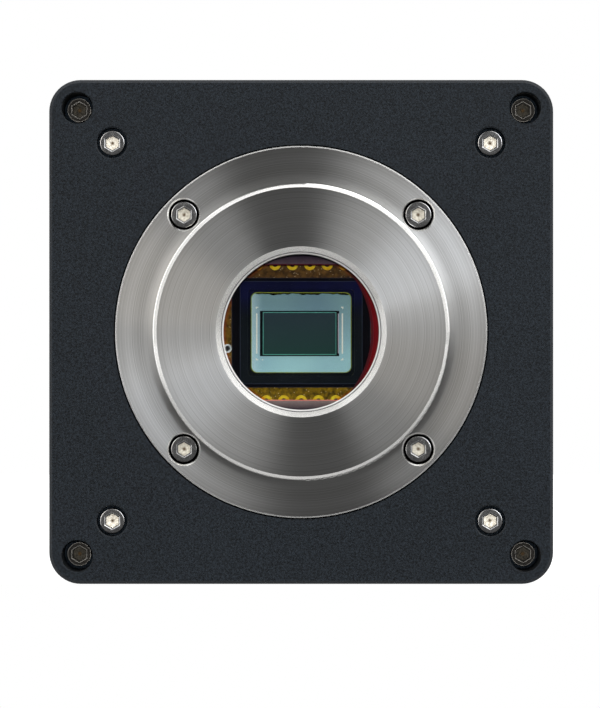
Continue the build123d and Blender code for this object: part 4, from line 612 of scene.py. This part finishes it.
# painted shadow: a thin dark sheet under the top edge, where the bead runs unevenly; its sag is the sum of
# three sine waves
across = np.linspace(-SHADE_HALF, SHADE_HALF, SHADE_STEPS)
sag = 0.22 + 0.09 * np.sin(across * 1.1) + 0.06 * np.sin(across * 2.7 + 1.0) + 0.04 * np.sin(across * 5.1)
shade_x = np.concatenate([across, across[::-1]])
shade_z = np.concatenate([SHADE_TOP - sag, np.full(SHADE_STEPS, SHADE_TOP)])
shade = at_depths([(shade_x, shade_z, DIE_FACE - 0.03), (shade_x, shade_z, DIE_FACE - 0.01)])
piece("painted_bead_shadow", [skin(shade)], border_black)

# painted highlight: the clear resin's bead is coloured green where it catches the light
resin = grained("bonding_resin", 0.8, "#879729", "#8d9d2f", Roughness=0.25, IOR=1.5)
outer = rounded_rectangle(BEAD_W, BEAD_H, BEAD_CORNER)
inner = rounded_rectangle(BEAD_W - 2 * BEAD_LINE, BEAD_H - 2 * BEAD_LINE, BEAD_CORNER - 0.1)
bead_face = DIE_FACE - 0.1
bead = at_depths([(*outer, bead_face), (*inner, bead_face + 0.03), (*inner, bead_face + 0.08),
                  (*outer, bead_face + 0.08)])
piece("glass_bond_bead", [loop_skin(bead)], resin)

# a thin pale line along the front edge of the package and of the resin round it
pale_edge = grained("pale_edge_lines", 0.7, "#141826", "#363e50", Roughness=0.4, IOR=1.5)
for name, node_name in (("package_edge", "sensor_package"), ("resin_edge", "sensor_underfill")):
    low, high = (np.array(corner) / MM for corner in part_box(node_name))
    outline = frame_of(high[0] * 2 - 0.02, high[2] * 2 - 0.02, EDGE_LINE, EDGE_LINE, low[1] - 0.01, 0.02)
    piece(name, outline, pale_edge)

# ======================================================================================================
# Sensor board and its pads: glass-fibre board with a bronze solder mask, dotted with painted glints, and
# gold-plated ring pads round plated holes. Four small screws hold it.
# ======================================================================================================
GLOW_FROM, GLOW_TO = 12.1, 12.9
GLINT_SPACING = 0.42


def orange_rim(tree, colour, glow):
    """Colour that turns red-orange towards the edge of the opening, where the red lip throws its light."""
    return blend_colours(tree, off_axis(tree), colour, linear(glow), GLOW_FROM * MM, GLOW_TO * MM)


bronze_mask, tree, shader = finish("bronze_solder_mask", Metallic=0.15, Roughness=0.42)
low_tone = mottled(tree, 0.8, "#3f3004", "#9a7c10", 0.35, 0.7, detail=4.0, relief=(0.4, 0.03))
shaded_upper_tone = mottled(tree, 0.8, "#2e1f10", "#705026", 0.35, 0.7, detail=4.0)
# painted shade: the upper part of the board is darker and browner than the lower
mask_with_painted_shade = blend_colours(tree, place_on(tree)["Z"], low_tone, shaded_upper_tone, -9 * MM, 9 * MM)
# painted glints: small pale dots spread over the mask
cells = {"Vector": node(tree, "ShaderNodeTexCoord").outputs["Object"], "Scale": 1 / (GLINT_SPACING * MM)}
glint_distance = node(tree, "ShaderNodeTexVoronoi", cells).outputs["Distance"]
with_painted_glints = blend_colours(tree, glint_distance, linear("#f4e6c4"), mask_with_painted_shade, 0.10, 0.16)
tree.links.new(orange_rim(tree, with_painted_glints, "#8a3a10"), shader.inputs["Base Color"])
dress(bronze_mask, "sensor_board")

gold, tree, shader = finish("gold_plated_copper", Metallic=0.35, Roughness=0.35)
plating = orange_rim(tree, mottled(tree, 1.2, "#e0a818", "#ffea3c", 0.35, 0.7), "#e0601c")
# the plating is missing from the pad at the far left, which shows bare tin
plated = blend_colours(tree, place_on(tree)["X"], plating, linear("#e6f0f0"), -9.5 * MM, -10.0 * MM)
tree.links.new(plated, shader.inputs["Base Color"])
dress(gold, "via_pads")

green_mask = grained("green_solder_mask", 1.0, "#0d3a24", "#14563a", Roughness=0.35, IOR=1.5)
dress(green_mask, "main_board", "fan_board")

# ======================================================================================================
# Moulded black parts: glass-filled nylon with the fine spark-eroded texture of its mould, and the black
# resin that is poured round the sensor package.
# ======================================================================================================
nylon = grained("moulded_black_nylon", 0.35, "#131314", "#242426", detail=3.0, relief=(0.25, 0.02),
                Roughness=0.5, IOR=1.53)
dress(nylon, "board_sockets", "board_chips", "power_inductors", "fan_frame", "usb_tongue",
      "power_jack", "fan_rotor", "fan_lead", "tec_leads", "thermistor")
potting = grained("black_potting_resin", 1.5, "#050507", "#0d0c11", Roughness=0.5, IOR=1.3)
dress(potting, "sensor_underfill")

# ======================================================================================================
# Inner metal: machined heat sink and cold finger, nickel-plated steel motor parts and shells, a turned brass
# tube, enamelled copper coils, and pressed ferrite and semiconductor blocks. All gleam but the dull blocks.
# ======================================================================================================
nickel_steel = grained("nickel_plated_steel", 0.8, "#b4b2ae", "#dddbd6", Metallic=1.0, Roughness=0.26)
dress(nickel_steel, "fan_stator", "fan_shaft", "fan_bearings", "usb_shell", "power_jack_pin", "tripod_bush")
for name, size, low, high, metallic, roughness, nodes in (
    ("machined_aluminium", 0.5, "#b8b8b8", "#dedede", 1.0, 0.32, ("heat_sink", "cold_finger")),
    ("turned_brass", 0.8, "#b8923e", "#e0bd6a", 1.0, 0.3, ("fan_bearing_tube",)),
    ("enamelled_copper_wire", 0.3, "#8a4418", "#d8813c", 0.9, 0.32, ("fan_coils",)),
    ("moulded_ferrite", 0.4, "#2a2a2c", "#454548", 0.1, 0.55, ("fan_magnet", "tec_upper_pellets",
                                                               "tec_lower_pellets")),
):
    dress(grained(name, size, low, high, Metallic=metallic, Roughness=roughness), *nodes)

# ======================================================================================================
# Tripod thread: the steel bush in the underside has a quarter-inch thread, 20 to the inch,
# tapped up its hole. The crests are cut bright, like the rest of the bush.
# ======================================================================================================
BUSH_HOLE_R = 2.55
BUSH_PITCH = 25.4 / 20
BUSH_THREAD_DEPTH = 0.3
BUSH_START, BUSH_END_GAP = 0.3, 0.4
bush_low, bush_high = (np.array(corner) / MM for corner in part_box("tripod_bush"))
bush_middle = (bush_low + bush_high) / 2
bush_end = bush_high[2] - bush_low[2] - BUSH_END_GAP
ridge = thread_ridge(BUSH_HOLE_R, BUSH_THREAD_DEPTH, BUSH_PITCH, BUSH_START, bush_end)
# the ridge is wound round the Y axis: x stays, its length turns upright and its height turns to depth
upright = ridge[..., [0, 2, 1]] + [bush_middle[0], bush_middle[1], bush_low[2]]
piece("tripod_thread", [skin(upright)], nickel_steel)

# ======================================================================================================
# Inner soft and ceramic parts: fired alumina plates of the cooler, cut silicone pad, polyimide ribbon,
# fibre washers, the drying agent's non-woven pouch, and the moulded acrylic rod of the status light. All
# are matt but the film and the rod.
# ======================================================================================================
for name, low, high, roughness, nodes in (
    ("white_alumina", "#d0d0cc", "#eaeae6", 0.45, ("tec_cold_plate", "tec_middle_plate", "tec_hot_plate")),
    ("filled_silicone_pad", "#7c7f86", "#93969c", 0.7, ("thermal_pad",)),
    ("amber_polyimide_film", "#8f4a0c", "#c47c24", 0.3, ("sensor_flex",)),
    ("red_fibre_washer", "#7a2c18", "#983c22", 0.7, ("board_washers",)),
    ("non_woven_pouch", "#d8d8d4", "#f0f0ec", 0.8, ("desiccant_pack",)),
    ("clear_acrylic_rod", "#7d8f8a", "#a2b4ae", 0.12, ("status_light",)),
):
    dress(grained(name, 0.8, low, high, Roughness=roughness), *nodes)

# ======================================================================================================
# Studio floor: a white glowing sheet just under the object. It is painted on its upper side only, so that
# it doesn't cover the underside.
# ======================================================================================================
FLOOR_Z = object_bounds()[0][2] - 0.1 * MM
FLOOR_HALF = 0.5
FLOOR_FRONT, FLOOR_REAR = 0.004, 0.45

floor_mesh = bpy.data.meshes.new("studio_floor")
corners = [(-FLOOR_HALF, FLOOR_FRONT, FLOOR_Z), (FLOOR_HALF, FLOOR_FRONT, FLOOR_Z),
           (FLOOR_HALF, FLOOR_REAR, FLOOR_Z), (-FLOOR_HALF, FLOOR_REAR, FLOOR_Z)]
floor_mesh.from_pydata(corners, [], [(0, 1, 2, 3)])
floor = bpy.data.objects.new("studio_floor", floor_mesh)
bpy.context.scene.collection.objects.link(floor)
white, tree, shader = finish("white_floor", Base_Color=(0.3, 0.3, 0.3, 1), Roughness=0.9,
                             Emission_Color=(1, 1, 1, 1), Emission_Strength=0.92)
lower_side = node(tree, "ShaderNodeNewGeometry").outputs["Backfacing"]
clear = node(tree, "ShaderNodeBsdfTransparent")
one_sided = node(tree, "ShaderNodeMixShader", {0: lower_side, 1: shader.outputs[0], 2: clear.outputs[0]})
tree.links.new(one_sided.outputs[0], tree.nodes["Material Output"].inputs["Surface"])
floor_mesh.materials.append(white)

# ======================================================================================================
# Studio light: white walls beside and above, a darker room ahead with two broad lights in it, two softboxes,
# and a small lamp beside the camera.
# ======================================================================================================
DARK_ROOM = 0.09
WHITE_WALL = 0.85
WHITE_CEILING = WHITE_WALL + 0.9
# each light ahead: bearing (anticlockwise from the right), half its arc, the fade past its ends, strength
BROAD_LIGHTS = ((37.5, 15, 34, 2.8), (158, 31, 17, 1.8))

world = bpy.data.worlds.new("studio")
bpy.context.scene.world = world
world.use_nodes = True
tree = world.node_tree
tree.nodes.clear()
way = node(tree, "ShaderNodeSeparateXYZ", {0: node(tree, "ShaderNodeTexCoord").outputs["Generated"]}).outputs
sideways = node(tree, "ShaderNodeCombineXYZ", {"X": way["X"], "Z": way["Z"]}).outputs[0]
compass = node(tree, "ShaderNodeVectorMath", {0: sideways}, operation="NORMALIZE").outputs[0]
level = DARK_ROOM
for bearing, half_arc, fade, strength in BROAD_LIGHTS:
    toward = (np.cos(radians(bearing)), 0.0, np.sin(radians(bearing)))
    both = {0: compass, 1: toward}
    alike = node(tree, "ShaderNodeVectorMath", both, operation="DOT_PRODUCT").outputs["Value"]
    dark_from, full_from = np.cos(radians(half_arc + fade)), np.cos(radians(half_arc))
    arc = {0: alike, 1: dark_from, 2: full_from, 3: 0.0, 4: strength}
    lobe = node(tree, "ShaderNodeMapRange", arc, interpolation_type="SMOOTHSTEP").outputs[0]
    level = node(tree, "ShaderNodeMath", {0: level, 1: lobe}, operation="ADD").outputs[0]
# straight ahead, round the camera, the room stays dark
edge = {0: way["Y"], 1: -0.95, 2: -0.78}
off_centre = node(tree, "ShaderNodeMapRange", edge, interpolation_type="SMOOTHSTEP").outputs[0]
ahead = node(tree, "ShaderNodeMix", {0: off_centre, 2: DARK_ROOM, 3: level}, data_type="FLOAT").outputs[0]
turn = {0: way["Y"], 1: -0.36, 2: -0.08}
beside = node(tree, "ShaderNodeMapRange", turn, interpolation_type="SMOOTHSTEP").outputs[0]
rise = {0: way["Z"], 1: 0.4, 2: 1.0, 3: WHITE_WALL, 4: WHITE_CEILING}
walls = node(tree, "ShaderNodeMapRange", rise).outputs[0]
room = node(tree, "ShaderNodeMix", {0: beside, 2: ahead, 3: walls}, data_type="FLOAT").outputs[0]
lighting = node(tree, "ShaderNodeBackground", {"Color": (1, 1, 1, 1), "Strength": room})
backdrop = node(tree, "ShaderNodeBackground", {"Color": (1, 1, 1, 1), "Strength": 1.0})
seen = node(tree, "ShaderNodeLightPath").outputs["Is Camera Ray"]
mixed = node(tree, "ShaderNodeMixShader", {0: seen, 1: lighting.outputs[0], 2: backdrop.outputs[0]})
node(tree, "ShaderNodeOutputWorld", {0: mixed.outputs[0]})


def aimed(name, source, place):
    """Puts a light at a place and aims it at the middle of the lens mount's face."""
    made = bpy.data.objects.new(name, source)
    made.location = place
    made.rotation_euler = (-made.location).to_track_quat("-Z", "Y").to_euler()
    bpy.context.scene.collection.objects.link(made)
    return made


for name, place, power, tone in (("softbox_left", (-0.55, -0.62, 0.20), 0.8, "#fff6ea"),
                                 ("softbox_right", (0.52, -0.62, 0.32), 1.6, "#f2f7ff")):
    light = bpy.data.lights.new(name, "AREA")
    light.shape = "SQUARE"
    light.size = 0.35
    light.energy = power
    light.color = linear(tone)[:3]
    aimed(name, light, place)

# polished metal doesn't mirror this lamp: it only fills the lens opening and the screw sockets
lamp = bpy.data.lights.new("front_fill", "SPOT")
lamp.energy = 10.5
lamp.spot_size = radians(16)
lamp.spot_blend = 0.3
lamp.shadow_soft_size = 0.006
aimed("front_fill", lamp, (0.0, -0.52, 0.012)).visible_glossy = False

# ======================================================================================================
# Camera: straight in front of the lens mount, a little below its axis.
# ======================================================================================================
camera = bpy.data.cameras.new("camera")
camera.sensor_fit = "VERTICAL"
camera.sensor_height = 36.0
camera.lens = 157.1
camera.clip_start = 0.01
view = bpy.data.objects.new("camera", camera)
view.location = (-0.00019, -0.4877, -0.0035)
view.rotation_euler = (radians(90), 0, 0)
bpy.context.scene.collection.objects.link(view)
bpy.context.scene.camera = view
bpy.context.scene.view_settings.view_transform = "Standard"
